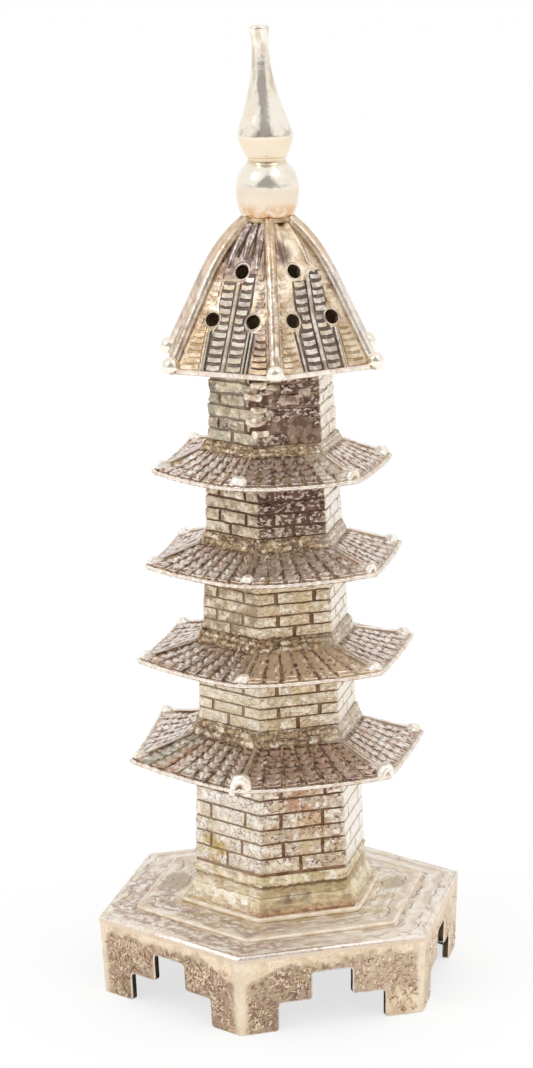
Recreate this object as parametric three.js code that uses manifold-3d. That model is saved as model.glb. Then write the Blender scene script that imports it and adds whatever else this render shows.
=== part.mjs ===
// Pagoda shaker: a six-sided brick tower on a footed base, with a pierced roof that pulls off.
// Millimetres, +Z up. The origin is on the ground in the middle of the feet.
// One corner of the tower faces -Y. Radii of six-sided pieces run from the axis to a corner.

import * as THREE from 'three';
import { mergeVertices } from 'three/addons/utils/BufferGeometryUtils.js';
import Module from 'manifold-3d';

const wasm = await Module();
wasm.setup();

// Shared sizes
const SIDES = 6;
const FLAT = Math.cos(Math.PI / SIDES);     // distance to a flat, as a share of distance to a corner
const SOLDER_GAP = 0.06;                    // clearance round a piece that is soldered on
const SLIDE_GAP = 0.1;                      // clearance round a piece that slides or turns
const ROUND_STEPS = 28;                     // facets round a turned piece
const CORNER_STEPS = 2;                     // facets in a rounded corner

// Base: an apron on six feet under a stepped platform
const BASE_RADIUS = 20;
const BASE_HEIGHT = 8.6;
const APRON_SPLAY = 0.4;                    // how far the apron leans in towards the ground
const APRON_WALL = 0.75;
const DECK_THICKNESS = 0.8;
const DECK_ROUNDING = 0.4;
const FOOT_WIDTH = 4.1;
const FOOT_HEIGHT = 3.05;
const BRACKET_WIDTH = 3.55;                 // the step between a foot and the middle arch
const ARCH_HEIGHT = 5.95;
const CUT_ROUNDING = 0.35;
const LOWER_STEP_RADIUS = 15.8;
const LOWER_STEP_RISE = 0.35;
const UPPER_STEP_RADIUS = 10.95;
const UPPER_STEP_RISE = 0.45;
const STEP_ROUNDING = 0.15;

// Plinth: the plain moulded foot of the tower
const PLINTH_SPREAD = 1.1;                  // how far its foot stands out beyond the wall
const PLINTH_FILLET = 0.4;                  // how far its upper line stands out beyond the wall
const PLINTH_FLARE_MIDDLE = 0.62;           // the same, half way down the flare
const PLINTH_FOOT_HEIGHT = 0.35;
const PLINTH_FLARE_HEIGHT = 1.3;
const PLINTH_COVE_HEIGHT = 1.25;
const PLINTH_BAND_HEIGHT = 1.1;
const PLINTH_BAND_PROUD = 0.15;
const PLINTH_LINE = 0.13;                   // height of the small steps at either end of the cove

// Tower: five storeys from the bottom up, with the corner radius at the foot of each wall
const WALL = 0.6;
const WALL_LEAN = 0.04;                     // loss of corner radius for each millimetre of height
const STOREY_RADII = [9.25, 8.5, 7.75, 7.25, 6.75];
const STOREY_HEIGHTS = [12.9, 7.4, 8.25, 7.7, 7.55];

// Eaves: four from the bottom up, each soldered on a little out of line with the tower. The fall is
// from the neck's foot to the tips. One tip is bent outwards and upwards on two of the eaves.
const EAVE_RADII = [15.8, 14.8, 13.8, 12.5];
const EAVE_FALLS = [2.2, 1.35, 1.75, 1.9];
const NECK_HEIGHTS = [1.7, 1.4, 1.3, 1.0];
const EAVE_TURNS_DEG = [-2.0, -1.7, 0.4, -4.2];
const BENT_TIP = 4;                         // the corner whose tip is bent
const BENT_TIP_OUT = [2.0, 0, 0, 0.2];
const BENT_TIP_UP = [0.3, 0, 0, 0.8];
const EAVE_THICKNESS = 0.8;
const EAVE_EDGE = 0.45;                     // thickness at the outer edge
const EAVE_SAG = 0.15;                      // how far the slope hollows half way down
const EAVE_SEAT = 0.25;                     // ledge beyond the wall that the eave sits on
const NECK_PROUD = 0.2;
const NECK_FLARE = 0.55;
const CORNER_LIFT = 0.3;                    // how far the tips turn up from the middle of the edge
const CORNER_LIFT_POWER = 3;
const HIP_HEIGHT = 0.2;
const HIP_HALF_WIDTH = 0.35;

// Knobs: one on each tip of each eave
const KNOB_RADIUS = 0.72;
const KNOB_LENGTH = 1.35;                   // stretch along the hip, as a share of its width
const KNOB_INSET = 1.1;
const KNOB_RISE = 0.15;                     // how far its middle lies above the hip
const KNOB_STEPS = 8;

// Mouth of the tower and the parts of the cap that enter it
const MOUTH_RADIUS = 4.45;
const MOUTH_HEIGHT = 3;
const CAP_SEAT_GAP = 0.1;                   // gap between the tower's top and the cap that rests there
const COLLAR_WALL = 0.5;
const COLLAR_DEPTH = 5.8;
const COLLAR_FLANGE = 0.6;
const COLLAR_FLANGE_THICKNESS = 0.4;
const PLATE_THICKNESS = 0.6;

// Cap: a pierced bell roof, turned by this much from the tower as it stands
const CAP_TURN_DEG = 15.1;
const ROOF_RADIUS = 11.8;
const ROOF_RIM_HEIGHT = 0.5;
const ROOF_HEIGHT = 14.7;
const ROOF_WALL = 0.6;
const SHOULDER_RADIUS = 7.5;
const SHOULDER_HEIGHT = 8.6;
const CROWN_RISE = 4;                       // height over which the flank goes on before it bends in
const CROWN_RADIUS = 2.3;
const CROWN_STEPS = 5;
const HOLE_RADIUS = 0.76;
const HOLE_STEPS = 16;
const UPPER_HOLE_HEIGHT = 10;
const LOWER_HOLE_HEIGHT = 5.4;
const LOWER_HOLE_SHARE = 0.5;               // of the way from the middle of a flat to the hip
const STRAY_HOLE_SIDE = 0;                  // the side whose upper hole was drilled off the middle
const STRAY_HOLE_SHARE = -0.2;
const RIB_RADIUS = 0.55;
const RIB_SIDES = 8;
const RIB_STEPS = 7;
const ROOF_BALL_RADIUS = 0.92;
const ROOF_BALL_HEIGHT = 0.8;
const ROOF_BALL_STEPS = 10;
const ROOF_BALL_REACH = 0.17;               // how far its middle lies beyond the roof's corner

// Finial: a ball and a bottle-shaped spire on a peg, held by a nut inside the roof
const PEG_RADIUS = 0.6;
const BALL_RADIUS = 3.22;
const BALL_SEAT_RADIUS = 2.5;
const BALL_SEAT_DROP = 3.1;                 // from its widest level down to its seat
const BALL_STEPS = 5;                       // facets above and below its widest level
const WAIST_RADIUS = 1.8;
const SPIRE_HEIGHT = 13.63;
const SPIRE_SHOULDER_RADIUS = 2.85;
const SPIRE_SHOULDER_HEIGHT = 2.65;
const SPIRE_NECK_RADIUS = 0.82;
const SPIRE_NECK_HEIGHT = 10.8;
const SPIRE_STEPS = 12;
const SPIRE_CONE_SHARE = 0.37;              // where it is half way between shoulder and neck in width
const SPIRE_TIP_RADIUS = 1.04;
const SPIRE_TIP_EDGE = 0.3;                 // height of the rounded end above its widest ring
const SPIRE_LEAN = 0.04;                    // how far it leans to -X for each millimetre of height
const NUT_RADIUS = 1.6;
const NUT_THICKNESS = 0.8;
const NUT_GAP = 0.05;
const PEG_END = 0.3;                        // how far the peg shows below the nut

// Finishes
const DARK_SILVER = { color: 0x9c8b78, roughness: 0.5, metalness: 0.9 };
const WARM_SILVER = { color: 0xd8cbaa, roughness: 0.38, metalness: 0.95 };
const PALE_SILVER = { color: 0xdcd0bc, roughness: 0.35, metalness: 0.95 };
const BRIGHT_SILVER = { color: 0xf0e8da, roughness: 0.15, metalness: 1 };

// Heights that follow from the sizes above
const deckTop = BASE_HEIGHT;
const lowerStepTop = deckTop + LOWER_STEP_RISE;
const upperStepTop = lowerStepTop + UPPER_STEP_RISE;
const plinthHeight = PLINTH_FOOT_HEIGHT + PLINTH_FLARE_HEIGHT + PLINTH_COVE_HEIGHT + PLINTH_BAND_HEIGHT;
const levels = stackLevels(upperStepTop + plinthHeight);
const towerTop = levels[levels.length - 1].wallTop;
const capBottom = towerTop + CAP_SEAT_GAP;

const model = new THREE.Group();
const cap = new THREE.Group();
cap.position.z = capBottom;
cap.rotation.z = THREE.MathUtils.degToRad(CAP_TURN_DEG);
model.add(cap);

// The heights and radii of each storey and of the eave above it
function stackLevels(start) {
  const found = [];
  let height = start;
  STOREY_RADII.forEach((radius, index) => {
    const wallTop = height + STOREY_HEIGHTS[index];
    const topRadius = radius - WALL_LEAN * STOREY_HEIGHTS[index];
    const level = { index, foot: height, wallTop, radius, topRadius };
    level.hasEave = index < EAVE_RADII.length;
    if (level.hasEave) {
      level.neckFoot = wallTop + EAVE_THICKNESS;
      level.neckTop = level.neckFoot + NECK_HEIGHTS[index];
      level.nextRadius = STOREY_RADII[index + 1];
      height = level.neckTop;
    }
    found.push(level);
  });
  return found;
}

// Small tools for geometry

function place(name, geometry, finish, parent = model, turn = 0) {
  const mesh = new THREE.Mesh(geometry, new THREE.MeshStandardMaterial(finish));
  mesh.name = name;
  mesh.rotation.z = turn;
  parent.add(mesh);
  return mesh;
}

function pair(radius, height) {
  return new THREE.Vector2(radius, height);
}

// Merge shared vertices, drop triangles that have closed up, and turn the faces outwards
function weld(geometry) {
  const bare = geometry.clone();
  bare.deleteAttribute('normal');
  bare.deleteAttribute('uv');
  const merged = mergeVertices(bare);
  const kept = [];
  for (let i = 0; i < merged.index.count; i += 3) {
    const [a, b, c] = [0, 1, 2].map((offset) => merged.index.getX(i + offset));
    if (a !== b && b !== c && c !== a) kept.push(a, b, c);
  }
  merged.setIndex(kept);
  if (signedVolume(merged) < 0) merged.setIndex(kept.reverse());
  merged.computeVertexNormals();
  return merged;
}

function signedVolume(geometry) {
  const corner = [0, 1, 2].map(() => new THREE.Vector3());
  let six = 0;
  for (let i = 0; i < geometry.index.count; i += 3) {
    corner.forEach((point, offset) => {
      point.fromBufferAttribute(geometry.attributes.position, geometry.index.getX(i + offset));
    });
    six += corner[0].dot(corner[1].clone().cross(corner[2]));
  }
  return six / 6;
}

function toSolid(geometry) {
  const welded = weld(geometry);
  const vertProperties = new Float32Array(welded.attributes.position.array);
  const triVerts = new Uint32Array(welded.index.array);
  return new wasm.Manifold(new wasm.Mesh({ numProp: 3, vertProperties, triVerts }));
}

function toGeometry(solid) {
  const mesh = solid.getMesh();
  const geometry = new THREE.BufferGeometry();
  geometry.setAttribute('position', new THREE.BufferAttribute(new Float32Array(mesh.vertProperties), 3));
  geometry.setIndex(new THREE.BufferAttribute(new Uint32Array(mesh.triVerts), 1));
  geometry.computeVertexNormals();
  return geometry;
}

// A profile of radius and height, spun about Z with a first corner at -Y
function spin(profile, segments) {
  const geometry = new THREE.LatheGeometry(profile, segments);
  geometry.rotateX(Math.PI / 2);
  return weld(geometry);
}

function spinSixSided(profile) {
  return spin(profile, SIDES);
}

// A closed profile ends where it starts
function closeProfile(points) {
  return [...points, points[0].clone()];
}

function cornerDirection(index) {
  const angle = index * 2 * Math.PI / SIDES;
  return new THREE.Vector3(Math.sin(angle), -Math.cos(angle), 0);
}

// An arc of a profile from one angle to another, in degrees
function arcPoints(centre, radius, from, to, steps = CORNER_STEPS) {
  const points = [];
  for (let i = 0; i <= steps; i += 1) {
    const angle = THREE.MathUtils.degToRad(from + (to - from) * i / steps);
    points.push(pair(centre.x + radius * Math.cos(angle), centre.y + radius * Math.sin(angle)));
  }
  return points;
}

// A six-sided plate with a round hole, its lower face at the given height
function piercedPlate(cornerRadius, holeRadius, bottom, thickness) {
  const outline = [];
  for (let i = 0; i < SIDES; i += 1) {
    const corner = cornerDirection(i).multiplyScalar(cornerRadius);
    outline.push(pair(corner.x, corner.y));
  }
  const shape = new THREE.Shape(outline);
  const hole = new THREE.Path();
  hole.absarc(0, 0, holeRadius, 0, 2 * Math.PI);
  shape.holes.push(hole);
  const settings = { depth: thickness, bevelEnabled: false, curveSegments: ROUND_STEPS };
  const geometry = new THREE.ExtrudeGeometry(shape, settings);
  geometry.translate(0, 0, bottom);
  return weld(geometry);
}

// Base

// The stepped outline that is cut through each side of the apron, with rounded corners
function archOutline() {
  const side = BASE_RADIUS - APRON_SPLAY;
  const footEdge = side / 2 - FOOT_WIDTH;
  const archEdge = footEdge - BRACKET_WIDTH;
  const r = CUT_ROUNDING;
  const right = [
    pair(footEdge + r, -r),
    ...arcPoints(pair(footEdge + r, r), r, 270, 180),
    ...arcPoints(pair(footEdge - r, FOOT_HEIGHT - r), r, 0, 90),
    ...arcPoints(pair(archEdge + r, FOOT_HEIGHT + r), r, 270, 180),
    ...arcPoints(pair(archEdge - r, ARCH_HEIGHT - r), r, 0, 90),
  ];
  const left = right.map((point) => pair(-point.x, point.y)).reverse();
  return new THREE.Shape([...right, ...left]);
}

function buildApron() {
  const top = BASE_HEIGHT - DECK_THICKNESS;
  const foot = BASE_RADIUS - APRON_SPLAY;
  const wall = APRON_WALL / FLAT;
  let apron = toSolid(spinSixSided(closeProfile([
    pair(foot, 0),
    pair(BASE_RADIUS, top),
    pair(BASE_RADIUS - wall, top),
    pair(foot - wall, 0),
  ])));
  const length = 3 * BASE_RADIUS;
  for (let i = 0; i < SIDES / 2; i += 1) {
    const cutter = new THREE.ExtrudeGeometry(archOutline(), { depth: length, bevelEnabled: false });
    cutter.translate(0, 0, -length / 2);
    cutter.rotateX(Math.PI / 2);
    cutter.rotateZ((i + 0.5) * 2 * Math.PI / SIDES);
    apron = apron.subtract(toSolid(cutter));
  }
  return toGeometry(apron);
}

// A solid six-sided plate with a rounded upper edge
function buildPlate(radius, bottom, top, rounding) {
  return spinSixSided([
    pair(0, bottom),
    pair(radius, bottom),
    ...arcPoints(pair(radius - rounding, top - rounding), rounding, 0, 90),
    pair(0, top),
  ]);
}

function addBase() {
  place('base_apron', buildApron(), PALE_SILVER);
  const deck = buildPlate(BASE_RADIUS, BASE_HEIGHT - DECK_THICKNESS, deckTop, DECK_ROUNDING);
  place('base_deck', deck, PALE_SILVER);
  const lower = buildPlate(LOWER_STEP_RADIUS, deckTop, lowerStepTop, STEP_ROUNDING);
  place('base_step_lower', lower, PALE_SILVER);
  const upper = buildPlate(UPPER_STEP_RADIUS, lowerStepTop, upperStepTop, STEP_ROUNDING);
  place('base_step_upper', upper, PALE_SILVER);
}

// Tower

function buildPlinth() {
  const wall = STOREY_RADII[0];
  const bore = wall - WALL / FLAT;
  const flareFoot = upperStepTop + PLINTH_FOOT_HEIGHT;
  const fillet = flareFoot + PLINTH_FLARE_HEIGHT;
  const cove = fillet + PLINTH_COVE_HEIGHT;
  const band = wall + PLINTH_BAND_PROUD;
  return spinSixSided(closeProfile([
    pair(wall + PLINTH_SPREAD, upperStepTop),
    pair(wall + PLINTH_SPREAD, flareFoot),
    pair(wall + PLINTH_FLARE_MIDDLE, flareFoot + PLINTH_FLARE_HEIGHT / 2),
    pair(wall + PLINTH_FILLET, fillet),
    pair(band, fillet + PLINTH_LINE),
    pair(wall + PLINTH_BAND_PROUD / 2, cove - PLINTH_LINE),
    pair(band, cove),
    pair(band, levels[0].foot),
    pair(bore, levels[0].foot),
    pair(bore, upperStepTop),
  ]));
}

function buildStorey(level) {
  const wall = WALL / FLAT;
  return spinSixSided(closeProfile([
    pair(level.radius, level.foot),
    pair(level.topRadius, level.wallTop),
    pair(level.topRadius - wall, level.wallTop),
    pair(level.radius - wall, level.foot),
  ]));
}

// The rings of an eave, from the neck's top over the edge and back up the bore.
// Each ring takes a share of the tips' lift and of the ridge on the hips.
function eaveRings(level) {
  const tip = EAVE_RADII[level.index];
  const tipHeight = level.neckFoot - EAVE_FALLS[level.index];
  const neck = level.nextRadius + NECK_PROUD;
  const neckFoot = neck + NECK_FLARE;
  const middle = (neckFoot + tip) / 2;
  const middleHeight = (level.neckFoot + tipHeight) / 2 - EAVE_SAG;
  const bore = level.nextRadius - WALL / FLAT;
  return [
    { radius: neck, height: level.neckTop, lift: 0, ridge: 0 },
    { radius: neckFoot, height: level.neckFoot, lift: 0, ridge: 0.5 },
    { radius: middle, height: middleHeight, lift: 0.3, ridge: 1 },
    { radius: tip, height: tipHeight, lift: 1, ridge: 0.5 },
    { radius: tip, height: tipHeight - EAVE_EDGE, lift: 1, ridge: 0 },
    { radius: middle, height: middleHeight - EAVE_THICKNESS, lift: 0.3, ridge: 0 },
    { radius: level.topRadius + EAVE_SEAT, height: level.wallTop, lift: 0, ridge: 0 },
    { radius: bore, height: level.wallTop, lift: 0, ridge: 0 },
    { radius: bore, height: level.neckTop, lift: 0, ridge: 0 },
  ];
}

// One corner of a ring, with its share of a bent tip
function ringCorner(level, ring, corner) {
  const bend = corner % SIDES === BENT_TIP ? ring.lift : 0;
  const point = cornerDirection(corner).multiplyScalar(ring.radius + BENT_TIP_OUT[level.index] * bend);
  return point.setZ(ring.height + BENT_TIP_UP[level.index] * bend);
}

function ringPoints(level, ring) {
  const points = [];
  const ridgeShare = HIP_HALF_WIDTH / ring.radius;
  const shares = [0, ridgeShare, 0.25, 0.5, 0.75, 1 - ridgeShare];
  for (let side = 0; side < SIDES; side += 1) {
    const from = ringCorner(level, ring, side);
    const to = ringCorner(level, ring, side + 1);
    shares.forEach((share) => {
      const point = from.clone().lerp(to, share);
      const fall = CORNER_LIFT * ring.lift * (1 - Math.abs(2 * share - 1) ** CORNER_LIFT_POWER);
      const ridge = share === 0 ? HIP_HEIGHT * ring.ridge : 0;
      point.z += ridge - fall;
      points.push(point);
    });
  }
  return points;
}

// Rings of points joined in order, the last to the first, into one closed skin
function joinRings(rings) {
  const count = rings[0].length;
  const positions = rings.flat().flatMap((point) => point.toArray());
  const index = [];
  rings.forEach((ring, i) => {
    const next = (i + 1) % rings.length;
    for (let j = 0; j < count; j += 1) {
      const k = (j + 1) % count;
      const [a, b, c, d] = [i * count + j, i * count + k, next * count + k, next * count + j];
      index.push(a, b, c, a, c, d);
    }
  });
  const geometry = new THREE.BufferGeometry();
  geometry.setAttribute('position', new THREE.Float32BufferAttribute(positions, 3));
  geometry.setIndex(index);
  return weld(geometry);
}

function buildEave(level) {
  return joinRings(eaveRings(level).map((ring) => ringPoints(level, ring)));
}

// A knob on one tip, cut to sit on the eave's upper side
function buildKnob(level, eave, corner) {
  const [middle, tip] = eaveRings(level).slice(2, 4).map((ring) => ringCorner(level, ring, corner));
  const run = Math.hypot(tip.x - middle.x, tip.y - middle.y);
  const centre = tip.clone().lerp(middle, KNOB_INSET / run);
  const knob = new THREE.SphereGeometry(KNOB_RADIUS, KNOB_STEPS, KNOB_STEPS - 1);
  knob.scale(1, KNOB_LENGTH, 1);
  knob.rotateX(Math.atan2(middle.z - tip.z, run));
  knob.rotateZ(corner * 2 * Math.PI / SIDES);
  knob.translate(centre.x, centre.y, centre.z + KNOB_RISE);
  const skirt = toSolid(eave);
  return toGeometry(toSolid(knob)
    .subtract(skirt.translate([0, 0, SOLDER_GAP]))
    .subtract(skirt.translate([0, 0, SOLDER_GAP - EAVE_EDGE])));
}

function addTower() {
  place('tower_plinth', buildPlinth(), WARM_SILVER);
  levels.forEach((level, index) => {
    const number = index + 1;
    place(`storey_${number}`, buildStorey(level), WARM_SILVER);
    if (!level.hasEave) return;
    const turn = THREE.MathUtils.degToRad(EAVE_TURNS_DEG[index]);
    const eave = buildEave(level);
    place(`eave_${number}`, eave, DARK_SILVER, model, turn);
    for (let i = 0; i < SIDES; i += 1) {
      place(`eave_${number}_knob_${i + 1}`, buildKnob(level, eave, i), BRIGHT_SILVER, model, turn);
    }
  });
  const topLevel = levels[levels.length - 1];
  const ringRadius = topLevel.topRadius - WALL / FLAT - SOLDER_GAP;
  const ring = piercedPlate(ringRadius, MOUTH_RADIUS, towerTop - MOUTH_HEIGHT, MOUTH_HEIGHT);
  place('mouth_ring', ring, WARM_SILVER);
}

// Cap, with heights from its own lower edge

// The roof's outer line up a hip, from the rim to the flat under the finial
function roofLine() {
  const lean = (ROOF_RADIUS - SHOULDER_RADIUS) / (SHOULDER_HEIGHT - ROOF_RIM_HEIGHT);
  const crown = new THREE.QuadraticBezierCurve(
    pair(SHOULDER_RADIUS, SHOULDER_HEIGHT),
    pair(SHOULDER_RADIUS - lean * CROWN_RISE, SHOULDER_HEIGHT + CROWN_RISE),
    pair(CROWN_RADIUS, ROOF_HEIGHT),
  );
  return [
    pair(ROOF_RADIUS, 0),
    pair(ROOF_RADIUS, ROOF_RIM_HEIGHT),
    ...crown.getPoints(CROWN_STEPS),
  ];
}

// The direction into the roof, square to one stretch of its section on a flat
function inward(from, to) {
  const along = to.clone().sub(from).normalize();
  return pair(-along.y, along.x);
}

// The roof's line moved inwards by a wall, measured square to the flats
function insetLine(line, wall) {
  const flat = line.map((point) => pair(point.x * FLAT, point.y));
  return flat.map((point, i) => {
    const before = inward(flat[Math.max(i - 1, 0)], flat[Math.max(i, 1)]);
    const after = i < flat.length - 1 ? inward(point, flat[i + 1]) : before;
    const moved = before.clone().add(after).multiplyScalar(wall / (1 + before.dot(after))).add(point);
    return pair(moved.x / FLAT, moved.y);
  });
}

function radiusAt(line, height) {
  const above = line.findIndex((point, i) => i > 0 && point.y >= height);
  const [low, high] = [line[above - 1], line[above]];
  const share = (height - low.y) / (high.y - low.y);
  return { radius: low.x + (high.x - low.x) * share, lean: (high.x - low.x) / (high.y - low.y) };
}

// A drill square to one flat of the roof, at a height and a share of the way towards a hip
function holeDrill(side, height, share) {
  const { radius, lean } = radiusAt(roofLine(), height);
  const middle = cornerDirection(side + 0.5);
  const across = new THREE.Vector3(-middle.y, middle.x, 0);
  const centre = middle.clone().multiplyScalar(radius * FLAT);
  centre.addScaledVector(across, share * radius / 2);
  centre.z = height;
  const normal = middle.clone().setZ(-lean * FLAT).normalize();
  const drill = new THREE.CylinderGeometry(HOLE_RADIUS, HOLE_RADIUS, 4 * ROOF_WALL, HOLE_STEPS);
  drill.applyQuaternion(new THREE.Quaternion().setFromUnitVectors(new THREE.Vector3(0, 1, 0), normal));
  drill.translate(centre.x, centre.y, centre.z);
  return toSolid(drill);
}

function buildRoof() {
  const hole = (PEG_RADIUS + SOLDER_GAP) / FLAT;
  const outer = [...roofLine(), pair(hole, ROOF_HEIGHT)];
  const inner = insetLine(outer, ROOF_WALL).reverse();
  inner[0].x = hole;
  let roof = toSolid(spinSixSided(closeProfile([...outer, ...inner])));
  for (let side = 0; side < SIDES; side += 1) {
    roof = roof.subtract(holeDrill(side, UPPER_HOLE_HEIGHT, side === STRAY_HOLE_SIDE ? STRAY_HOLE_SHARE : 0));
    roof = roof.subtract(holeDrill(side, LOWER_HOLE_HEIGHT, -LOWER_HOLE_SHARE));
    roof = roof.subtract(holeDrill(side, LOWER_HOLE_HEIGHT, LOWER_HOLE_SHARE));
  }
  return toGeometry(roof);
}

// The roof as a solid block, a solder gap larger, which shapes what is soldered onto it
function roofBlock() {
  const line = insetLine(roofLine(), -SOLDER_GAP);
  return toSolid(spinSixSided([pair(0, line[0].y), ...line, pair(0, line[line.length - 1].y)]));
}

function ballSphere(radius) {
  const ball = new THREE.SphereGeometry(radius, ROOF_BALL_STEPS, ROOF_BALL_STEPS - 2);
  ball.translate(0, -(ROOF_RADIUS + ROOF_BALL_REACH), ROOF_BALL_HEIGHT);
  return toSolid(ball);
}

// A round wire laid up one hip, cut to sit on the roof between its ball and the finial
function buildRib() {
  const lean = (ROOF_RADIUS - SHOULDER_RADIUS) / (SHOULDER_HEIGHT - ROOF_RIM_HEIGHT);
  const hip = (radius, height) => new THREE.Vector3(0, -radius, height);
  const shoulder = hip(SHOULDER_RADIUS, SHOULDER_HEIGHT);
  const route = new THREE.CurvePath();
  route.add(new THREE.LineCurve3(hip(ROOF_RADIUS, ROOF_RIM_HEIGHT), shoulder));
  route.add(new THREE.QuadraticBezierCurve3(
    shoulder,
    hip(SHOULDER_RADIUS - lean * CROWN_RISE, SHOULDER_HEIGHT + CROWN_RISE),
    hip(CROWN_RADIUS, ROOF_HEIGHT),
  ));
  const section = new THREE.Shape();
  section.setFromPoints(arcPoints(pair(0, 0), RIB_RADIUS, 0, 360 - 360 / RIB_SIDES, RIB_SIDES - 1));
  const wire = new THREE.ExtrudeGeometry(section, { steps: RIB_STEPS, extrudePath: route });
  const above = new THREE.BoxGeometry(2 * ROOF_RADIUS, 2 * ROOF_RADIUS, ROOF_RADIUS);
  above.translate(0, 0, ROOF_HEIGHT - SOLDER_GAP + ROOF_RADIUS / 2);
  return toGeometry(toSolid(wire)
    .subtract(roofBlock())
    .subtract(ballSphere(ROOF_BALL_RADIUS + SOLDER_GAP))
    .subtract(toSolid(above)));
}

function addRoof() {
  place('roof_shell', buildRoof(), DARK_SILVER, cap);
  const rib = buildRib();
  const ball = toGeometry(ballSphere(ROOF_BALL_RADIUS).subtract(roofBlock()));
  for (let i = 0; i < SIDES; i += 1) {
    const corner = i * 2 * Math.PI / SIDES;
    place(`roof_rib_${i + 1}`, rib, BRIGHT_SILVER, cap, corner);
    place(`roof_ball_${i + 1}`, ball, BRIGHT_SILVER, cap, corner);
  }
}

// The plate that closes the roof's lower side, and the collar that enters the tower's mouth
function addCollar() {
  const outside = MOUTH_RADIUS - SLIDE_GAP;
  const inside = outside - COLLAR_WALL;
  const seat = PLATE_THICKNESS + SLIDE_GAP;
  const innerLine = insetLine(roofLine(), ROOF_WALL);
  const plateRadius = radiusAt(innerLine, PLATE_THICKNESS).radius - SOLDER_GAP;
  place('cap_plate', piercedPlate(plateRadius, outside + SLIDE_GAP, 0, PLATE_THICKNESS), WARM_SILVER, cap);
  const collar = spin(closeProfile([
    pair(outside, -COLLAR_DEPTH),
    pair(outside, seat),
    pair(outside + COLLAR_FLANGE, seat),
    pair(outside + COLLAR_FLANGE, seat + COLLAR_FLANGE_THICKNESS),
    pair(inside, seat + COLLAR_FLANGE_THICKNESS),
    pair(inside, -COLLAR_DEPTH),
  ]), ROUND_STEPS);
  place('cap_collar', collar, WARM_SILVER, cap);
}

// Lean everything above a height towards -X
function leanAbove(geometry, height) {
  const position = geometry.attributes.position;
  for (let i = 0; i < position.count; i += 1) {
    const rise = Math.max(position.getZ(i) - height, 0);
    position.setX(i, position.getX(i) - SPIRE_LEAN * rise);
  }
  return geometry;
}

function addFinial() {
  const bore = PEG_RADIUS + SOLDER_GAP;
  const widest = ROOF_HEIGHT + BALL_SEAT_DROP;
  const waist = widest + Math.sqrt(BALL_RADIUS ** 2 - WAIST_RADIUS ** 2);
  const stretch = BALL_SEAT_DROP / Math.sqrt(BALL_RADIUS ** 2 - BALL_SEAT_RADIUS ** 2);
  const seatAngle = THREE.MathUtils.radToDeg(Math.acos(BALL_SEAT_RADIUS / BALL_RADIUS));
  const waistAngle = THREE.MathUtils.radToDeg(Math.acos(WAIST_RADIUS / BALL_RADIUS));
  const lower = arcPoints(pair(0, 0), BALL_RADIUS, -seatAngle, 0, BALL_STEPS);
  const upper = arcPoints(pair(0, widest), BALL_RADIUS, 0, waistAngle, BALL_STEPS);
  const ball = spin(closeProfile([
    pair(bore, ROOF_HEIGHT),
    ...lower.map((point) => pair(point.x, widest + point.y * stretch)),
    ...upper.slice(1),
    pair(bore, waist),
  ]), ROUND_STEPS);
  place('finial_ball', ball, BRIGHT_SILVER, cap);

  const ceiling = ROOF_HEIGHT - ROOF_WALL;
  const nutBottom = ceiling - NUT_GAP - NUT_THICKNESS;
  const tip = waist + SPIRE_HEIGHT;
  const shoulder = pair(SPIRE_SHOULDER_RADIUS, SPIRE_SHOULDER_HEIGHT);
  const neck = pair(SPIRE_NECK_RADIUS, SPIRE_NECK_HEIGHT);
  const cone = pair((shoulder.x + neck.x) / 2, shoulder.y + (neck.y - shoulder.y) * SPIRE_CONE_SHARE);
  const bottle = new THREE.SplineCurve([
    shoulder,
    cone,
    neck,
    pair(SPIRE_TIP_RADIUS, SPIRE_HEIGHT - SPIRE_TIP_EDGE),
  ]);
  const dome = arcPoints(pair(0, 0), 1, 0, 90, 3).map((point) => {
    return pair(Math.max(point.x, 0) * SPIRE_TIP_RADIUS, tip + (point.y - 1) * SPIRE_TIP_EDGE);
  });
  const spire = spin([
    pair(0, nutBottom - PEG_END),
    pair(PEG_RADIUS, nutBottom - PEG_END),
    pair(PEG_RADIUS, waist),
    pair(WAIST_RADIUS, waist),
    ...bottle.getPoints(SPIRE_STEPS).map((point) => pair(point.x, waist + point.y)),
    ...dome.slice(1),
  ], ROUND_STEPS);
  place('finial_spire', leanAbove(spire, waist), BRIGHT_SILVER, cap);

  place('finial_nut', piercedPlate(NUT_RADIUS, bore, nutBottom, NUT_THICKNESS), WARM_SILVER, cap);
}

addBase();
addTower();
addCollar();
addRoof();
addFinial();

export default model;
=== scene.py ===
# Looks of a small silver pagoda shaker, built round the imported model. Metres, +Z up.

import math
import random
from collections import defaultdict
from contextlib import contextmanager
from functools import partial

import bmesh
import bpy
from mathutils import Matrix, Vector, noise
from mathutils.bvhtree import BVHTree


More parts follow.
